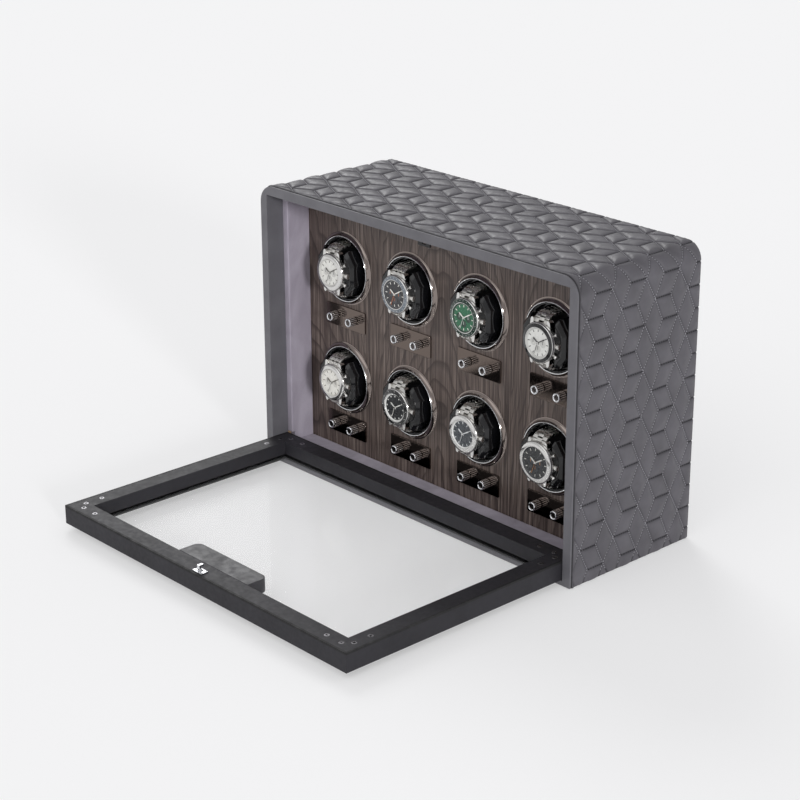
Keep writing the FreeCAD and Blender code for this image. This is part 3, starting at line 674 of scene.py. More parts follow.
def repeat_tree(kind: Repeat) -> bpy.types.NodeTree:
    """Build, once, the node tree that sets out copies of a unit object.

    Args:
        kind: Along paths at a pitch, at every point of a mesh, or round a circle.

    Returns:
        The tree, with inputs Unit, Pitch, Count, Radius and Finish.
    """
    tree = bpy.data.node_groups.get(kind.value)
    if tree:
        return tree
    tree = bpy.data.node_groups.new(kind.value, "GeometryNodeTree")
    face = tree.interface
    face.new_socket("Geometry", in_out="INPUT", socket_type="NodeSocketGeometry")
    for label, socket in (("Unit", "Object"), ("Pitch", "Float"), ("Count", "Int"), ("Radius", "Float"),
                          ("Finish", "Material")):
        face.new_socket(label, in_out="INPUT", socket_type=f"NodeSocket{socket}")
    face.new_socket("Geometry", in_out="OUTPUT", socket_type="NodeSocketGeometry")
    given = add_node(tree, "NodeGroupInput").outputs
    up, stored = (add_node(tree, "GeometryNodeInputNamedAttribute", {"Name": label},
                           data_type="FLOAT_VECTOR").outputs[0] for label in ("up", "along"))
    if kind is Repeat.PATH:
        curve = add_node(tree, "GeometryNodeMeshToCurve", {"Mesh": given["Geometry"]}).outputs[0]
        inputs = {"Curve": curve, "Length": given["Pitch"]}
        spaced = add_node(tree, "GeometryNodeCurveToPoints", inputs, mode="LENGTH")
        points, along = spaced.outputs["Points"], spaced.outputs["Tangent"]
    elif kind is Repeat.PLACES:
        points = add_node(tree, "GeometryNodeMeshToPoints", {"Mesh": given["Geometry"]}).outputs[0]
        along = stored
    else:
        inputs = {"Vertices": given["Count"], "Radius": given["Radius"]}
        points = add_node(tree, "GeometryNodeMeshCircle", inputs).outputs[0]
        along = add_node(tree, "GeometryNodeInputPosition").outputs[0]
        up = add_node(tree, "FunctionNodeInputVector", vector=(0, 0, 1)).outputs[0]
    stand = add_node(tree, "FunctionNodeAlignRotationToVector", {"Vector": up}, axis="Z")
    inputs = {"Rotation": stand.outputs[0], "Vector": along}
    turned = add_node(tree, "FunctionNodeAlignRotationToVector", inputs, axis="Y", pivot_axis="Z")
    unit = add_node(tree, "GeometryNodeObjectInfo", {"Object": given["Unit"]}).outputs["Geometry"]
    inputs = {"Points": points, "Instance": unit, "Rotation": turned.outputs[0]}
    copies = add_node(tree, "GeometryNodeInstanceOnPoints", inputs)
    real = add_node(tree, "GeometryNodeRealizeInstances", {0: copies.outputs[0]})
    inputs = {"Geometry": real.outputs[0], "Material": given["Finish"]}
    add_node(tree, "NodeGroupOutput", {0: add_node(tree, "GeometryNodeSetMaterial", inputs).outputs[0]})
    return tree


def repeated(name: str, kind: Repeat, unit: bpy.types.Object, finish: Finish,
             lines: Sequence[Sequence[tuple[Vector, Vector]]] = (), along: Vector | None = None,
             place: Matrix | None = None, **sizes: float) -> bpy.types.Object:
    """Set out copies of a unit and turn them into a plain mesh.

    Args:
        name: Name of the result.
        kind: How the copies are set out.
        unit: Object that is copied; it is removed afterwards.
        finish: Finish of every copy.
        lines: Paths or places, as points in mm with the direction that is up there.
        along: Direction of the unit's own y axis, for places.
        place: Placement of the result, for a circle.
        **sizes: Pitch, Count and Radius inputs, lengths in metres.

    Returns:
        The plain object.
    """
    mesh = bpy.data.meshes.new(name)
    points, edges, ups = [], [], []
    for line in lines:
        start = len(points)
        points += [point * MM for point, _ in line]
        ups += [direction for _, direction in line]
        if kind is Repeat.PATH:
            edges += [(start + i, start + i + 1) for i in range(len(line) - 1)]
    mesh.from_pydata(points, edges, [])
    for label, values in (("up", ups), ("along", [along] * len(points) if along else [])):
        if values:
            layer = mesh.attributes.new(label, "FLOAT_VECTOR", "POINT")
            layer.data.foreach_set("vector", [c for value in values for c in value])
    piece = link(bpy.data.objects.new(name, mesh))
    tree = repeat_tree(kind)
    inputs = {item.name: item.identifier for item in tree.interface.items_tree if item.in_out == "INPUT"}
    setting = piece.modifiers.new(kind.value, "NODES")
    setting.node_group = tree
    setting[inputs["Unit"]] = unit
    setting[inputs["Finish"]] = finish.material()
    for label, value in sizes.items():
        setting[inputs[label]] = value
    applied(piece)
    bpy.data.objects.remove(unit)
    if place:
        flat = place.copy()
        flat.translation = flat.translation * MM
        piece.data.transform(flat)
    for layer in [a for a in piece.data.attributes if a.name in ("up", "along")]:
        piece.data.attributes.remove(layer)
    shade(piece.data, CRISP)
    return piece


def unit_block(size: Point, rounding: float = 0.0) -> bpy.types.Object:
    """A small block to be repeated, in mm, with its edges cut back by the rounding."""
    mesh = bpy.data.meshes.new("unit")
    with edited(mesh) as shell:
        bmesh.ops.create_cube(shell, size=MM)
        bmesh.ops.scale(shell, vec=size, verts=shell.verts)
        if rounding:
            bmesh.ops.bevel(shell, geom=shell.edges[:], offset=rounding * MM, segments=1, affect="EDGES",
                            profile=0.5)
    return link(bpy.data.objects.new("unit", mesh))


# ---------------------------------------------------------------- the case
@dataclass
class QuiltedWrap:
    """Padded leather round the left side, the top and the right side, quilted in tumbling blocks."""

    depth_period: float = 50.0     # repeat from front to back
    bar: float = 23.5              # length of the short seams that run front to back
    lean: float = 12.0             # how far the bar seams lean in half a repeat
    side_period: float = 48.9      # repeat down the sides
    top_period: float = 47.0       # repeat along the top
    first_bar: float = -77.0       # y where a bar starts on the even rows
    knot_height: float = 306.5     # z of an odd row on the sides
    puff: float = 3.1
    puff_reach: float = 11.0
    sink: float = 2.2              # seams below the case's nominal surface
    front: float = -89.8
    back: float = 91.7
    foot: float = 1.2
    groove: float = 1.3            # groove beside the front band, sunk and painted dark as its shade
    pitch: float = 3.1             # stitch length, drawn a little long so that it shows
    near: float = 12.0             # seams further off than this do not pull at a point
    fold_reach: float = 3.0        # how far beside a seam the coat stays dull
    fade: float = 7.0              # length over which the skin sinks behind the front band
    odd_row: int = field(default=0, init=False)

    def path_length(self) -> float:
        """Length of the wrap from the right foot over the top to the left foot."""
        side = HEIGHT - CORNER - self.foot
        return 2 * side + math.pi * CORNER + 2 * (HALF_WIDTH - CORNER)

    def spot(self, path: float) -> tuple[Vector, Vector]:
        """Point and outward direction at a distance along the wrap, at y nought."""
        side = HEIGHT - CORNER - self.foot
        arc, top = math.pi * CORNER / 2, 2 * (HALF_WIDTH - CORNER)
        if path <= side:
            return Vector((HALF_WIDTH, 0, self.foot + path)), Vector((1, 0, 0))
        path -= side
        if path <= arc:
            out = Vector((math.cos(path / CORNER), 0, math.sin(path / CORNER)))
            return Vector((HALF_WIDTH - CORNER, 0, HEIGHT - CORNER)) + out * CORNER, out
        path -= arc
        if path <= top:
            return Vector((HALF_WIDTH - CORNER - path, 0, HEIGHT)), Vector((0, 0, 1))
        path -= top
        if path <= arc:
            out = Vector((-math.sin(path / CORNER), 0, math.cos(path / CORNER)))
            return Vector((CORNER - HALF_WIDTH, 0, HEIGHT - CORNER)) + out * CORNER, out
        path -= arc
        return Vector((-HALF_WIDTH, 0, HEIGHT - CORNER - path)), Vector((-1, 0, 0))

    def row_marks(self) -> list[float]:
        """Distances along the wrap of every seam row, the first and last beyond the feet."""
        low = self.knot_height - self.foot
        high = self.path_length() - low
        below = [low - self.side_period / 2 * k for k in range(1, 16)]
        count = round((high - low) / (self.top_period / 2))
        between = [low + (high - low) * k / count for k in range(count + 1)]
        above = [high + self.side_period / 2 * k for k in range(1, 16)]
        marks = sorted(below + between + above)
        self.odd_row = marks.index(min(marks, key=lambda m: abs(m - low))) % 2
        return marks

    def seam_y(self, parity: int) -> list[float]:
        """The y of the slanting seams where they cross a row: two bar ends and the counter seam."""
        shift = self.lean if parity else 0.0
        result = []
        for block in range(-1, 5):
            start = self.first_bar + block * self.depth_period
            counter = start + self.bar + self.lean if parity else start + self.depth_period
            result += [start + shift, start + self.bar + shift, counter]
        return result

    def build(self) -> None:
        """Make the padded skin, its threads and its needle holes."""
        marks = self.row_marks()
        total = self.path_length()
        steps = (0.0, 0.045, 0.12, 0.25, 0.42, 0.58, 0.75, 0.88, 0.955)
        columns = (0.0, 0.05, 0.14, 0.3, 0.5, 0.7, 0.86, 0.95)
        rows = []
        for index in range(len(marks) - 1):
            for share in steps:
                path = marks[index] + (marks[index + 1] - marks[index]) * share
                if 0 < path < total:
                    rows.append((path, index, share))
        rows = [(0.0, self.index_at(marks, 0.0), None)] + rows + [(total, self.index_at(marks, total), None)]
        grid = []
        for path, index, share in rows:
            span = marks[index + 1] - marks[index]
            share = (path - marks[index]) / span if share is None else share
            parity = (index + self.odd_row + 1) % 2
            low, high = self.seam_y(parity), self.seam_y(1 - parity)
            seams = [a + (b - a) * share for a, b in zip(low, high)]
            line = [self.front + beyond for beyond in (0.0, 0.5 * self.groove, self.groove * 1.05, 2.2)]
            start = line[-1]
            for a, b in zip(seams, seams[1:]):
                line += [min(max(a + (b - a) * c, start), self.back) for c in columns]
            line.append(self.back)
            grid.append([(y, path, *self.reach(y, path, index, marks, low, high)) for y in line])
        self.skin(grid)
        slants, bars = self.slants(marks, total), self.bars(marks, total)
        for name, lines, finish in (("slant_thread", slants, THREAD), ("bar_thread", bars, SHADED_THREAD)):
            thread = unit_block((0.85, 2.1, 0.7))
            self.round_thread(thread)
            threads = repeated(name, Repeat.PATH, thread, finish, lines, Pitch=self.pitch * MM)
            seat(threads, "case", "quilted_leather")
        for name, lines, size in (("slant_needle_holes", slants, (0.7, 0.6, 0.3)),
                                  ("bar_needle_holes", bars, (1.9, 1.3, 0.8))):
            shifted = [self.shifted(line) for line in lines]
            holes = repeated(name, Repeat.PATH, unit_block(size), NEEDLE_HOLE, shifted,
                             Pitch=self.pitch * MM)
            seat(holes, "case", "quilted_leather")

    @staticmethod
    def round_thread(unit: bpy.types.Object) -> None:
        """Pull the ends of a stitch down into the leather."""
        with edited(unit.data) as shell:
            lengthwise = [edge for edge in shell.edges if abs((edge.verts[0].co - edge.verts[1].co).y) > MM]
            bmesh.ops.subdivide_edges(shell, edges=lengthwise, cuts=2)
            for vert in shell.verts:
                if abs(vert.co.y) > 1.0 * MM:
                    vert.co.x *= 0.45
                    vert.co.z = vert.co.z * 0.4 - 0.2 * MM

    @staticmethod
    def index_at(marks: list[float], path: float) -> int:
        """Number of the row interval that holds a distance."""
        return max(i for i, mark in enumerate(marks) if mark <= path + 1e-9)

    def reach(self, y: float, path: float, index: int, marks: list[float], low: list[float],
              high: list[float]) -> tuple[float, float]:
        """Distances from a point to its nearest seam or edge, and how much shade is painted there by the
        nearest seam crease or the groove by the front band.
        """
        bottom, top = marks[index], marks[index + 1]
        slant = bar = 99.0
        point = Vector((y, path))
        for a, b in zip(low, high):
            if min(a, b) - self.near < y < max(a, b) + self.near:
                slant = min(slant, self.to_segment(point, Vector((a, bottom)), Vector((b, top))))
        for ends, row in ((low, bottom), (high, top)):
            for k in range(0, len(ends), 3):
                if ends[k] - self.near < y < ends[k + 1] + self.near:
                    bar = min(bar, self.to_segment(point, Vector((ends[k], row)), Vector((ends[k + 1], row))))
        edge = min(y - self.front + 0.5, self.back - y + 0.5)
        # painted shade: full in the groove by the front band, strong beside the bars, weaker beside the
        # slants
        painted_shade = max(1.0 if y < self.front + self.groove else 0.0, 0.85 * (1 - bar / 1.3),
                   0.45 * (1 - slant / 0.9))
        return min(slant, bar, edge), painted_shade

    @staticmethod
    def to_segment(point: Vector, start: Vector, end: Vector) -> float:
        """Distance from a point to a straight seam."""
        along = end - start
        share = min(max((point - start).dot(along) / along.length_squared, 0.0), 1.0)
        return (start + along * share - point).length

    def skin(self, grid: list[list[tuple[float, float, float, float]]]) -> None:
        """Turn the grid into the closed padded skin."""
        points, faces, painted_shade, fold = [], [], [], []
        width = len(grid[0])
        for line in grid:
            for y, path, away, shade_here in line:
                base, out = self.spot(path)
                share = min(away / self.puff_reach, 1.0)
                sink = self.sink * min(1.0, (y - self.front) / self.fade)
                rise = self.puff * math.sqrt(1 - (1 - share) ** 2) - sink
                points.append((base + out * (rise - 0.7 if y < self.front + self.groove else rise)
                               + Vector((0, y, 0))) * MM)
                painted_shade.append(shade_here)
                fold.append(max(0.0, 1.0 - away / self.fold_reach))
        for row in range(len(grid) - 1):
            for col in range(width - 1):
                a = row * width + col
                faces.append((a, a + 1, a + width + 1, a + width))
        inner = len(points)
        for line in grid:
            base, out = self.spot(line[0][1])
            points += [(base - out * (COVER - 0.1) + Vector((0, y, 0))) * MM for y in (self.front, self.back)]
            painted_shade += [0.0, 0.0]
            fold += [0.0, 0.0]
        last = len(grid) - 1
        for row in range(last):
            a, b = row * width, inner + 2 * row
            faces += [(a, a + width, b + 2, b), (a + width - 1, b + 1, b + 3, a + 2 * width - 1),
                      (b, b + 2, b + 3, b + 1)]
        faces.append([*range(width), inner + 1, inner][::-1])
        faces.append([last * width + i for i in range(width)] + [inner + 2 * last + 1, inner + 2 * last])
        mesh = bpy.data.meshes.new("quilted_leather")
        mesh.from_pydata(points, [], faces)
        # the painted crease shade goes onto the mesh for the leather, with the dull band beside the seams for
        # its roughness
        for label, values in (("painted_crease_shade", painted_shade), ("fold", fold)):
            mesh.attributes.new(label, "FLOAT", "POINT").data.foreach_set("value", values)
        mesh.materials.append(QUILT.material())
        with edited(mesh) as shell:
            bmesh.ops.remove_doubles(shell, verts=shell.verts, dist=2e-5)
            bmesh.ops.dissolve_degenerate(shell, edges=shell.edges, dist=1e-6)
            bmesh.ops.recalc_face_normals(shell, faces=shell.faces)
        shade(mesh, 60.0)
        piece = link(bpy.data.objects.new("quilted_leather", mesh))
        seat(piece, "case", "quilted_leather", "quilted_cover")

    def slants(self, marks: list[float], total: float) -> list[list[tuple[Vector, Vector]]]:
        """The slanting seams, as points just above the leather with their outward directions."""
        lines = []
        for slant in range(len(self.seam_y(0))):
            line: list[tuple[Vector, Vector]] = []
            for index in range(len(marks) - 1):
                parity = (index + self.odd_row + 1) % 2
                a, b = self.seam_y(parity)[slant], self.seam_y(1 - parity)[slant]
                for share in (0.0, 0.25, 0.5, 0.75):
                    path = marks[index] + (marks[index + 1] - marks[index]) * share
                    y = a + (b - a) * share
                    if 1.0 < path < total - 1.0 and self.front + 3 < y < self.back - 3:
                        line.append(self.raised(y, path))
                    elif len(line) > 1:
                        lines.append(line)
                        line = []
                    else:
                        line = []
            if len(line) > 1:
                lines.append(line)
        return lines

    def bars(self, marks: list[float], total: float) -> list[list[tuple[Vector, Vector]]]:
        """The short seams that run front to back."""
        lines = []
        for index, mark in enumerate(marks):
            if not 2.0 < mark < total - 2.0:
                continue
            ends = self.seam_y((index + self.odd_row + 1) % 2)
            for k in range(0, len(ends), 3):
                a, b = max(ends[k], self.front + 3), min(ends[k + 1], self.back - 3)
                if b - a > 4:
                    lines.append([self.raised(a + (b - a) * s, mark) for s in (0.04, 0.5, 0.96)])
        return lines

    def raised(self, y: float, path: float) -> tuple[Vector, Vector]:
        """A point on a seam, lifted clear of the leather."""
        base, out = self.spot(path)
        return base + out * (0.6 - self.sink) + Vector((0, y, 0)), out

    def shifted(self, line: list[tuple[Vector, Vector]]) -> list[tuple[Vector, Vector]]:
        """The same seam starting half a stitch later."""
        (start, out), (following, _) = line[0], line[1]
        return [(start + (following - start).normalized() * self.pitch / 2, out)] + line[1:]


@dataclass
class CaseShell:
    """Front band, linings, back and underside of the case."""

    band_rounding: float = 0.9
    suede_rounding: float = 1.3

    def build(self) -> None:
        """Make or dress every piece of the case but the quilt."""
        band = softened("front_trim", "front_band", BAND, self.band_rounding, 3)
        seat(band, "case", "plain_leather", "front_trim")
        seat(self.linings(), "case", "suede", "liner_panels")
        back = softened("back_cover", "leather_back", BACK_SKIN, self.band_rounding, 3)
        seat(back, "case", "back_leather", "back_cover")
        inlet = softened("power_inlet", "barrel_inlet", SWITCH_SKIN, 0.3)
        seat(inlet, "case", "switch_plastic", "power_inlet")
        self.back_screws()
        for node, finish in (("base_felt", FELT_SKIN), ("base_board", BOARD), ("side_boards", BOARD),
                             ("top_board", BOARD), ("gear_motors", PLAIN_STEEL),
                             ("selector_switches", SWITCH_SKIN), ("control_board", CIRCUIT),
                             ("hinge_bushes", BRASS)):
            dress(node, finish)
        keeper = softened("latch_keeper", "latch_strike", BLACK_OXIDE, 0.25)
        seat(keeper, "case", "latch_steel", "latch_keeper")

    def linings(self) -> bpy.types.Object:
        """Four suede-covered boards with soft edges; the upper one keeps a pocket for the latch tongue."""
        inner, outer, rear, front, step = 221.8, 230.5, PANEL_FACE, -69.0, -64.5
        pen = Pen()
        sideways = Matrix(((0, 0, 1, 0), (1, 0, 0, 0), (0, 1, 0, 0), (0, 0, 0, 1)))
        side = [(step, 10.0), (rear, 10.0), (rear, 317.5), (front, 317.5), (front, 28.6), (step, 28.6)]
        for low, high in ((-outer, -inner), (inner, outer)):
            pen.prism(side, low, high, SUEDE, sideways)
        pocket = [(-inner, front), (-3.0, front), (-3.0, -62.0), (3.0, -62.0), (3.0, front), (inner, front),
                  (inner, rear), (-inner, rear)]
        pen.prism(pocket, 308.8, 312.0, SUEDE)
        pen.prism([(-inner, front), (inner, front), (inner, rear), (-inner, rear)], 312.0, 317.5, SUEDE)
        pen.prism([(-inner, step), (inner, step), (inner, rear), (-inner, rear)], 10.0, 18.7, SUEDE)
        return eased(pen.build("suede_linings"), self.suede_rounding, 3)

    def back_screws(self) -> None:
        """Countersunk screws with a hexagon socket, flush in the back."""
        low, high = HALF_WIDTH - COVER - 3.25, HEIGHT - COVER - 3.25
        spots = [(side * low, HEIGHT * share) for side in (-1, 1) for share in (0.08, 0.36, 0.64, 0.9)]
        spots += [(x, z) for x in (-120.0, 0.0, 120.0) for z in (FELT + 4.5, high)]
        screw = Screw(2.75, 1.3, 1.4, 12.0).unit(SCREW_STEEL)
        line = [(Vector((x, BACK, z)), Vector((0, 1, 0))) for x, z in spots]
        screws = repeated("back_socket_screws", Repeat.PLACES, screw, SCREW_STEEL, [line], Vector((0, 0, 1)))
        seat(screws, "case", "black_screws", "back_screws")


@dataclass
class Screw:
    """Countersunk screw with a hexagon socket, its head flush with local z nought."""

    head: float
    socket: float
    socket_depth: float
    length: float

    def unit(self, finish: Finish) -> bpy.types.Object:
        """The screw as one closed shape, ready to be repeated."""
        pen = Pen()
        segments = 24
        turns = [2 * math.pi * step / segments for step in range(segments)]
        shank = self.head * 0.52
        flats = [self.socket / max(math.cos((turn % (math.pi / 3)) - math.pi / 6), 0.1) * 0.87
                 for turn in turns]
        outline = [(flats, -self.socket_depth), (flats, 0.0)]
        outline += [([radius] * segments, height) for radius, height in (
            (self.head - 0.25, 0.0), (self.head, -0.25), (shank, -self.head * 0.5), (shank, -self.length))]
        pen.loft([[(radius * math.cos(turn), radius * math.sin(turn), height)
                   for radius, turn in zip(radii, turns)] for radii, height in outline], finish)
        return pen.build("unit", 30.0)


# ---------------------------------------------------------------- winder stations
@dataclass
class Station:
    """One watch place: cup, holder, cushion and two knobs; its ring and plate are made with the panel."""

    number: int
    x: float
    z: float
    flutes: int = 13
    knob_radius: float = 5.0

    def build(self) -> None:
        """Make every piece of the place that moves."""
        self.cup()
        self.holder()
        self.cushion()
        for side, word in ((-1, "direction"), (1, "turns")):
            self.knob(side, word)

    def cup(self) -> None:
        """Turning cup with a rounded rim and a step inside it."""
        outline = [(34.6, -5.0), (34.6, -56.9), (3.0, -56.9), (3.0, -73.0), (0.0, -73.0), (0.0, -52.5),
                   (30.6, -52.5), (30.6, -13.0), (33.2, -12.0), (33.2, -5.0)]
        pen = Pen(place_at(self.x, PANEL_FACE, self.z))
        body = rounded(outline[:4], 0.6) + outline[4:6] + rounded(outline[6:], 0.6)
        pen.lathe(body, GLOSS, 96)
        piece = pen.build(f"cup_{self.number}")
        seat(piece, f"rotor_{self.number}", "gloss_black", f"rotor_cup_{self.number}")

    def holder(self) -> None:
        """Faceted gloss frame, from the CAD's own shape with eased edges."""
        node = f"watch_holder_{self.number}"
        piece = softened(node, f"holder_frame_{self.number}", GLOSS, 0.7, 3,
                         lambda low, high: high.x - low.x > 40 * MM)
        seat(piece, f"holder_{self.number}", "gloss_black", node)

    def cushion(self) -> None:
        """Oval velour cushion that the strap goes round, slightly crowned."""
        rings = []
        half_width, half_height, half_depth, middle, steps = 16.7, 21.9, 22.9, -24.0, 40
        for share in (-1.0, -0.97, -0.88, -0.7, -0.4, 0.0, 0.4, 0.7, 0.88, 0.97, 1.0):
            swell = 1.0 - 0.16 * abs(share) ** 6
            angles = [2 * math.pi * step / steps for step in range(steps)]
            rings.append([(half_width * share, half_height * swell * math.sin(angle),
                           half_depth * swell * math.cos(angle) + middle) for angle in angles])
        pen = Pen(place_at(self.x, -48.0, self.z))
        pen.loft(rings, CUSHION_SKIN)
        piece = pen.build(f"cushion_{self.number}", 60.0)
        seat(piece, f"holder_{self.number}", "gloss_black", f"watch_holder_{self.number}")

    def flute(self, angle: float) -> float:
        """Factor on the knob's radius: broad ridges with narrow grooves between them."""
        return 1.0 - 0.15 * (0.5 - 0.5 * math.cos(self.flutes * angle))

    def knob(self, side: int, word: str) -> None:
        """Fluted chrome knob with a dished face."""
        back, front = 1.7, 12.7
        radius = self.knob_radius
        pen = Pen(place_at(self.x + side * KNOB_HALF_SPACING, PANEL_FACE, self.z - KNOB_DROP))
        pen.lathe([(0.0, back + 0.3), (radius - 0.5, back + 0.3), (radius - 0.42, back + 0.6),
                   (radius - 0.42, front - 2.3), (0.0, front - 2.3)], GLOSS, 64)
        pen.lathe([(0.0, back), (radius - 0.6, back), (radius - 0.1, back + 0.5), (radius, back + 1.2),
                   (radius, front - 2.6), (radius - 0.1, front - 2.2), (0.0, front - 2.2)], FLUTES, 156,
                  swell=self.flute)
        pen.lathe([(radius - 0.7, front - 2.6), (radius - 0.15, front - 2.0), (radius - 0.1, front - 0.6),
                   (radius - 0.5, front - 0.1), (radius - 0.9, front), (radius - 1.3, front - 0.35),
                   (0.0, front - 1.0), (0.0, front - 2.6)], CHROME, 64)
        pen.lathe([(0.0, front - 1.2), (radius - 1.45, front - 0.55), (radius - 1.5, front - 0.4),
                   (0.0, front - 0.9)], KNOB_FACE, 48)
        pen.lathe([(0.0, back + 1.0), (2.0, back + 1.0), (2.0, back - 13.9), (0.0, back - 13.9)], CHROME, 32)
        mark = rounded([(-0.35, 2.0), (0.35, 2.0), (0.35, 4.0), (-0.35, 4.0)], 0.2)
        pen.prism(mark, front - 0.9, front - 0.15, NEEDLE_HOLE)
        node = f"{word}_knob_{self.number}"
        seat(pen.build(f"fluted_{node}"), node, "chrome", node)


@dataclass
class WinderPanel:
    """Veneered panel with its rings, wells and knob plates."""

    crest: float = 37.9
    flange: float = 42.0
    bore: float = 36.5
    height: float = 4.6

    def build(self) -> None:
        """Make the fixed pieces of the panel."""
        dress("winder_panel", WOOD)
        dress("cup_housings", WELL)
        rings = Pen()
        for x, z in STATIONS:
            rings.place = place_at(x, PANEL_FACE, z)
            rings.lathe(self.flank_profile(), SHADED_FLANK, 128)
            rings.lathe(self.lip_profile(), LIP, 128)
        seat(rings.build("ring_bezels", 50.0), "case", "chrome", "bezel_rings")
        plates = softened("knob_plates", "mirror_plates", MIRROR, 0.3)
        seat(plates, "case", "mirror_plate", "knob_plates")

    def flank_profile(self) -> list[Point]:
        """Hollowed flare from the flange up to the lip."""
        flare = []
        for step in range(9):
            share = step / 8
            flare.append((self.flange - (self.flange - self.crest) * share,
                          0.35 + (self.height - 1.3) * share ** 2.2))
        return [(self.crest - 0.5, 0.0), (self.flange, 0.0), *flare, (self.crest - 0.5, self.height - 1.0)]

    def lip_profile(self) -> list[Point]:
        """Tube with a rounded bright lip."""
        return [(self.bore, -9.0), (self.crest, -9.0), (self.crest, self.height - 1.1),
                (self.crest - 0.08, self.height - 0.4), (self.crest - 0.4, self.height),
                (self.crest - 0.85, self.height), (self.bore + 0.15, self.height - 0.35),
                (self.bore, self.height - 0.9)]


# ---------------------------------------------------------------- watches
class Bezel(Enum):
    """What the ring round the glass looks like."""

    POLISHED = "polished"
    SCALE = "scale"
    DIVER = "diver"


@dataclass(frozen=True)
class WatchLook:
    """Colours and features of one watch."""

    dial: str
    bezel: Bezel
    insert: str = "#101012"
    subdials: int = 0
    sub: str = "#d8d8d6"
    marks: str = "#e8e6e0"
    accent: str = "#e8e6e0"
    radius: float = 21.0
    dots: bool = False
    links: int = 3


@dataclass
class Watch:
    """A generic wrist watch on its holder's cushion; it belongs to the owner, and shows the box in use."""

    number: int
    x: float
    z: float
    look: WatchLook
    back: float = 52.0     # case back, in front of y nought
    link_pitch: float = 4.6
    pen: Pen = field(default_factory=Pen, init=False)

    @property
    def dial_rim(self) -> float:
        """Radius of the dial."""
        return self.look.radius - 5.4

    def build(self) -> None:
        """Make the head, its marks and the bracelet."""
        body = f"holder_{self.number}"
        self.pen = Pen(place_at(self.x, 0.0, self.z))
        self.case()
        self.dial()
        self.hands()
        seat(self.pen.build(f"watch_{self.number}_head", 32.0), body, "chrome")
        self.bracelet(body)
        self.markers(body)

    def case(self) -> None:
        """Round middle, lugs, bezel, crown and pushers."""
        r, b = self.look.radius, self.back
        middle = [(0.0, b), (r - 2.0, b), (r, b + 1.5), (r + 0.3, b + 4.0), (r, b + 7.2),
                  (r - 1.2, b + 8.2), (0.0, b + 8.2)]
        self.pen.lathe(middle, STEEL, 72)
        rim = r - 5.3
        ring = [(rim, b + 7.5), (r + 0.2, b + 7.5), (r + 0.3, b + 8.6), (r - 0.6, b + 9.9),
                (rim + 0.8, b + 10.8), (rim, b + 10.6)]
        self.pen.lathe(rounded(ring, 0.4, 2), STEEL, 96)
        if self.look.bezel is not Bezel.POLISHED:
            insert = Enamel(f"bezel_lacquer_{self.look.insert[1:]}", self.look.insert, 0.15)
            band = [(rim + 0.9, b + 10.2), (r - 0.7, b + 9.4), (r - 0.8, b + 9.95), (rim + 0.9, b + 10.95)]
            self.pen.lathe(band, insert, 96)
        for up in (-1, 1):
            for side in (-1, 1):
                outline = [(side * 9.0, up * 14.0), (side * 14.5, up * 13.0), (side * 13.0, up * 23.0),
                           (side * 11.6, up * 24.5), (side * 9.6, up * 24.3)]
                self.pen.prism(rounded(outline, 1.0), b + 0.6, b + 6.6, STEEL)
        sideways = Matrix(((0, 0, 1, 0), (0, 1, 0, 0), (-1, 0, 0, b + 4.2), (0, 0, 0, 1)))
        self.pen.lathe([(0.0, r - 0.5), (1.6, r - 0.5), (2.9, r + 1.0), (3.2, r + 1.4), (3.2, r + 4.2),
                        (2.7, r + 4.7), (0.0, r + 4.7)], STEEL_SATIN, 24, turn=sideways)
        if self.look.subdials:
            for angle in (-0.52, 0.52):
                turned = Matrix.Rotation(angle, 4, "Z") @ sideways
                pusher = [(0.0, r - 0.5), (1.5, r - 0.5), (1.5, r + 1.6), (2.3, r + 1.8), (2.3, r + 3.6),
                          (1.9, r + 4.0), (0.0, r + 4.0)]
                self.pen.lathe(pusher, STEEL, 20, turn=turned)

    def dial(self) -> None:
        """Lacquered dial with a chapter ring and its small dials."""
        look, b, rim = self.look, self.back, self.dial_rim
        face = Enamel(f"dial_lacquer_{look.dial[1:]}", look.dial, 0.28)
        self.pen.lathe([(0.0, b + 8.3), (rim, b + 8.3), (rim, b + 9.2), (0.0, b + 9.2)], face, 64)
        chapter = [(rim - 1.3, b + 9.1), (rim + 0.1, b + 9.1), (rim + 0.1, b + 10.3), (rim - 1.1, b + 9.45)]
        self.pen.lathe(chapter, Enamel(f"chapter_lacquer_{look.sub[1:]}", look.sub, 0.3), 64)
        small = Enamel(f"dial_lacquer_{look.sub[1:]}", look.sub, 0.35)
        places = [(-6.6, 0.0), (6.6, 0.0), (0.0, -6.6)][:look.subdials]
        for place in places:
            self.pen.lathe(rounded([(0.0, b + 9.1), (3.9, b + 9.1), (3.9, b + 9.42), (3.3, b + 9.42),
                                    (3.2, b + 9.3), (0.0, b + 9.3)], 0.05, 1), small, 32, centre=place)
            self.pen.prism([(place[0] - 0.22, place[1] - 0.7), (place[0] + 0.22, place[1] - 0.7),
                            (place[0] + 0.1, place[1] + 2.8), (place[0] - 0.1, place[1] + 2.8)],
                           b + 9.35, b + 9.55, printed(look.accent, 0.4))

    def hands(self) -> None:
        """Hour, minute and centre seconds hands at ten past ten."""
        b = self.back
        light, accent = printed(self.look.marks), printed(self.look.accent)
        for degrees, length, width, height, finish in (
                (305, 8.2, 0.85, 9.7, light), (60, 12.4, 0.65, 9.95, light),
                (200, 13.6, 0.22, 10.15, accent)):
            turn = Matrix.Rotation(-math.radians(degrees), 4, "Z")
            outline = [(-width * 0.5, -2.0), (width * 0.5, -2.0), (width, length * 0.75), (0.12, length),
                       (-0.12, length), (-width, length * 0.75)]
            self.pen.prism(outline, b + height - 0.1, b + height + 0.1, finish, turn)
        self.pen.lathe([(0.0, b + 9.1), (0.9, b + 9.1), (0.9, b + 10.4), (0.0, b + 10.4)], STEEL, 20)

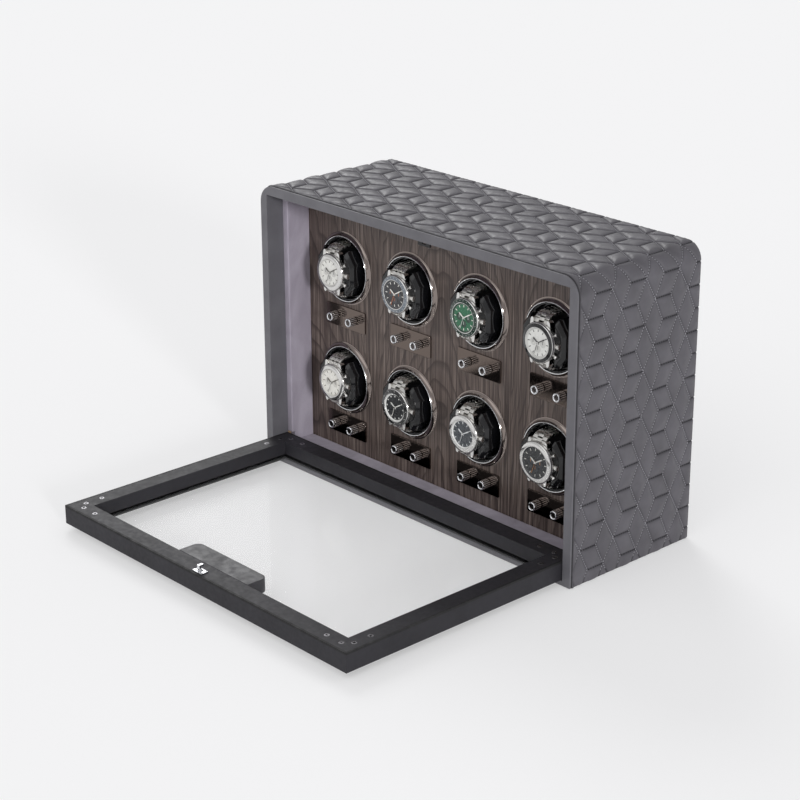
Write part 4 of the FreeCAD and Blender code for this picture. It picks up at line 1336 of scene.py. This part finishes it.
    def markers(self, body: str) -> None:
        """Applied hour marks, minute ticks and the bezel's own marks."""
        look, b, rim = self.look, self.back, self.dial_rim
        size = (1.5, 1.5, 0.5) if look.dots else (0.9, 2.6, 0.5)
        circles = [("hours", size, 0.2, 9.2, 12, rim - 2.9),
                   ("minutes", (0.22, 0.8, 0.3), 0.0, 9.2, 60, rim - 1.0)]
        if look.bezel is not Bezel.POLISHED:
            count, width = (12, 0.55) if look.bezel is Bezel.DIVER else (24, 0.3)
            circles.append(("bezel_marks", (width, 1.5, 0.5), 0.0, 10.25, count, look.radius - 2.7))
        for word, size, rounding, height, count, radius in circles:
            place = place_at(self.x, -(b + height), self.z)
            marks = repeated(f"watch_{self.number}_{word}", Repeat.CIRCLE, unit_block(size, rounding),
                             printed(look.marks), place=place, Count=count, Radius=radius * MM)
            seat(marks, body, "chrome")

    def bracelet(self, body: str) -> None:
        """Links that leave the lugs and go round the cushion into the cup."""
        route = [(-56.0, 21.5), (-54.0, 25.3), (-50.0, 27.8), (-44.0, 28.9), (-34.0, 29.0), (-24.0, 28.7),
                 (-14.0, 27.3), (-6.0, 24.6), (-1.0, 20.0)]
        lines = []
        for up in (-1, 1):
            line = []
            for index, (y, z) in enumerate(route):
                a, c = route[max(index - 1, 0)], route[min(index + 1, len(route) - 1)]
                along = Vector((0, c[0] - a[0], c[1] - a[1])).normalized()
                out = Vector((0, -along.z, along.y))
                line.append((Vector((self.x, y, self.z + up * z)), Vector((0, out.y, up * out.z))))
            lines.append(line)
        links = repeated(f"watch_{self.number}_bracelet", Repeat.PATH, self.link_row(), STEEL_SATIN, lines,
                         Pitch=self.link_pitch * MM)
        seat(links, body, "chrome")

    def link_row(self) -> bpy.types.Object:
        """One row of the bracelet: two outer links and three or five inner ones, with crowned tops."""
        widths = (6.2, 6.6, 6.2) if self.look.links == 3 else (5.2, 2.4, 3.8, 2.4, 5.2)
        inner = (1,) if self.look.links == 3 else (1, 3)
        start = -sum(widths) / 2
        mesh = bpy.data.meshes.new("unit")
        with edited(mesh) as shell:
            for index, width in enumerate(widths):
                part = bmesh.ops.create_cube(shell, size=MM)["verts"]
                length, tall = (3.5, 3.2) if index in inner else (4.3, 2.8)
                bmesh.ops.scale(shell, vec=(width - 0.15, length, tall), verts=part)
                shift = self.link_pitch / 2 if index in inner and self.look.links == 3 else 0.0
                spot = ((start + width / 2) * MM, shift * MM, -0.2 * MM)
                bmesh.ops.translate(shell, vec=spot, verts=part)
                start += width
            bmesh.ops.bevel(shell, geom=shell.edges[:], offset=0.5 * MM, segments=2, affect="EDGES",
                            profile=0.6)
        return link(bpy.data.objects.new("unit", mesh))


WATCHES = (
    WatchLook("#dfded9", Bezel.POLISHED, subdials=3, sub="#c6c5c1", marks="#55544f", accent="#4a4a4c"),
    WatchLook("#1a1b1f", Bezel.SCALE, "#6f767e", 3, "#3a3c40", accent="#c8703a", links=5),
    WatchLook("#07603c", Bezel.SCALE, "#0a2a20", 3, "#0a3524", accent="#dfe6e0"),
    WatchLook("#e6e6e2", Bezel.SCALE, "#0f1012", 3, "#cfcfcb", marks="#3c3c3e", accent="#303032"),
    WatchLook("#e4e2db", Bezel.POLISHED, subdials=2, sub="#cbc9c2", marks="#5a564c", accent="#4a4a4c",
              links=5),
    WatchLook("#1e2023", Bezel.DIVER, "#141517", marks="#d8d8d4", dots=True),
    WatchLook("#34393f", Bezel.POLISHED, marks="#d5d8da", accent="#d5d8da"),
    WatchLook("#17191d", Bezel.POLISHED, subdials=3, sub="#26292e", marks="#dddcd6", accent="#c98a52",
              radius=22.5),
)


# ---------------------------------------------------------------- the door
@dataclass
class Door:
    """Glazed drop-down door with its lock and its corner screws."""

    half: float = 228.5
    length: float = 308.5
    hinge_end: float = -71.0
    face: float = 28.0
    near: float = 19.5
    far: float = 40.0
    rail_middle: float = 11.0

    def build(self) -> None:
        """Make every piece of the door."""
        for node, name, finish, width, slot in (
                ("door_rails", "black_rails", BARS, 0.55, "door_black"),
                ("door_stiles", "black_stiles", BARS, 0.55, "door_black"),
                ("lock_housing", "lock_box", LOCK_SKIN, 0.7, "lock_plastic"),
                ("latch_plate", "latch_escutcheon", CHROME, 0.3, "chrome"),
                ("door_glass", "glass_pane", PANE, 0.4, "glass")):
            seat(softened(node, name, finish, width), "door", slot, node)
        hook = softened("latch_hook", "latch_tongue", CHROME, 0.45, 3)
        seat(hook, "latch_hook", "chrome", "latch_hook")
        dress("door_seals", SEAL)
        dress("corner_keys", KEY_ALUMINIUM)
        self.screws()

    def screws(self) -> None:
        """Four countersunk screws at each corner."""
        spots = []
        for inwards, along in ((self.near, self.rail_middle), (self.far, self.rail_middle),
                               (self.rail_middle, self.near), (self.rail_middle, self.far)):
            for side in (-1, 1):
                for reach in (along, self.length - along):
                    spot = Vector((side * (self.half - inwards), self.hinge_end - reach, self.face))
                    spots.append((spot, Vector((0, 0, 1))))
        screw = Screw(3.05, 1.35, 1.2, 10.0).unit(SCREW_STEEL)
        screws = repeated("corner_socket_screws", Repeat.PLACES, screw, SCREW_STEEL, [spots],
                          Vector((1, 0, 0)))
        seat(screws, "door", "screw_steel", "corner_screws")


# ---------------------------------------------------------------- studio
@dataclass
class Studio:
    """Camera, pale floor and plain soft light."""

    azimuth: float = 47.5562
    elevation: float = 21.008
    roll: float = -0.1978
    place: Point = (1.49892, -1.473218, 0.920059)
    focal: float = 92.5177

    def camera(self) -> None:
        """Long lens from the front right, a little above."""
        data = bpy.data.cameras.new("camera")
        data.lens, data.sensor_width = self.focal, 36.0
        data.clip_end = 100.0
        a, e, roll = (math.radians(v) for v in (self.azimuth, self.elevation, self.roll))
        back = Vector((math.sin(a) * math.cos(e), -math.cos(a) * math.cos(e), math.sin(e)))
        right = Vector((0, 0, 1)).cross(back).normalized()
        up = back.cross(right)
        across = right * math.cos(roll) + up * math.sin(roll)
        above = up * math.cos(roll) - right * math.sin(roll)
        spot = Matrix((across, above, back)).transposed().to_4x4()
        spot.translation = self.place
        camera = link(bpy.data.objects.new("camera", data))
        camera.matrix_world = spot
        bpy.context.scene.camera = camera

    def floor(self) -> None:
        """A wide pale floor, level with the felt."""
        mesh = bpy.data.meshes.new("floor")
        mesh.from_pydata([(-30, -30, 0), (30, -30, 0), (30, 30, 0), (-30, 30, 0)], [], [(0, 1, 2, 3)])
        paint = Paint("pale_paper_floor", "#c6c6c7", 0.9, Specular_IOR_Level=0.0, Emission_Strength=0.39)
        paint.shader.inputs["Emission Color"].default_value = linear("#fdfdfd")
        paint.roughness(paint.spread(paint.noise(400.0), 0.85, 0.95))
        mesh.materials.append(paint.material)
        link(bpy.data.objects.new("floor", mesh))

    def sun(self, name: str, azimuth: float, elevation: float, power: float, spread: float) -> None:
        """A very wide distant light, like a large softbox far away."""
        data = bpy.data.lights.new(name, "SUN")
        data.energy, data.angle = power, math.radians(spread)
        a, e = math.radians(azimuth), math.radians(elevation)
        towards = Vector((math.sin(a) * math.cos(e), -math.cos(a) * math.cos(e), math.sin(e)))
        lamp = link(bpy.data.objects.new(name, data))
        lamp.rotation_euler = towards.to_track_quat("Z", "Y").to_euler()

    def build(self) -> None:
        """Set up the whole studio."""
        self.camera()
        self.floor()
        world = bpy.data.worlds.new("studio")
        world.use_nodes = True
        sky = world.node_tree.nodes["Background"].inputs
        sky["Color"].default_value = linear("#fbfbfc")
        sky["Strength"].default_value = 0.62
        bpy.context.scene.world = world
        bpy.context.scene.view_settings.view_transform = "Standard"
        self.sun("key_low_right", 71.0, 12.0, 1.25, 8.0)
        self.sun("left_back", -118.0, 36.0, 0.85, 25.0)
        self.sun("front", 5.0, 35.0, 0.45, 50.0)


def main() -> None:
    """Build the whole scene, piece by piece."""
    logging.basicConfig(level=logging.INFO, format="%(message)s")
    Studio().build()
    QuiltedWrap().build()
    CaseShell().build()
    WinderPanel().build()
    for number, ((x, z), look) in enumerate(zip(STATIONS, WATCHES), start=1):
        Station(number, x, z).build()
        Watch(number, x, z, look).build()
    Door().build()


if __name__ == "__main__":
    main()
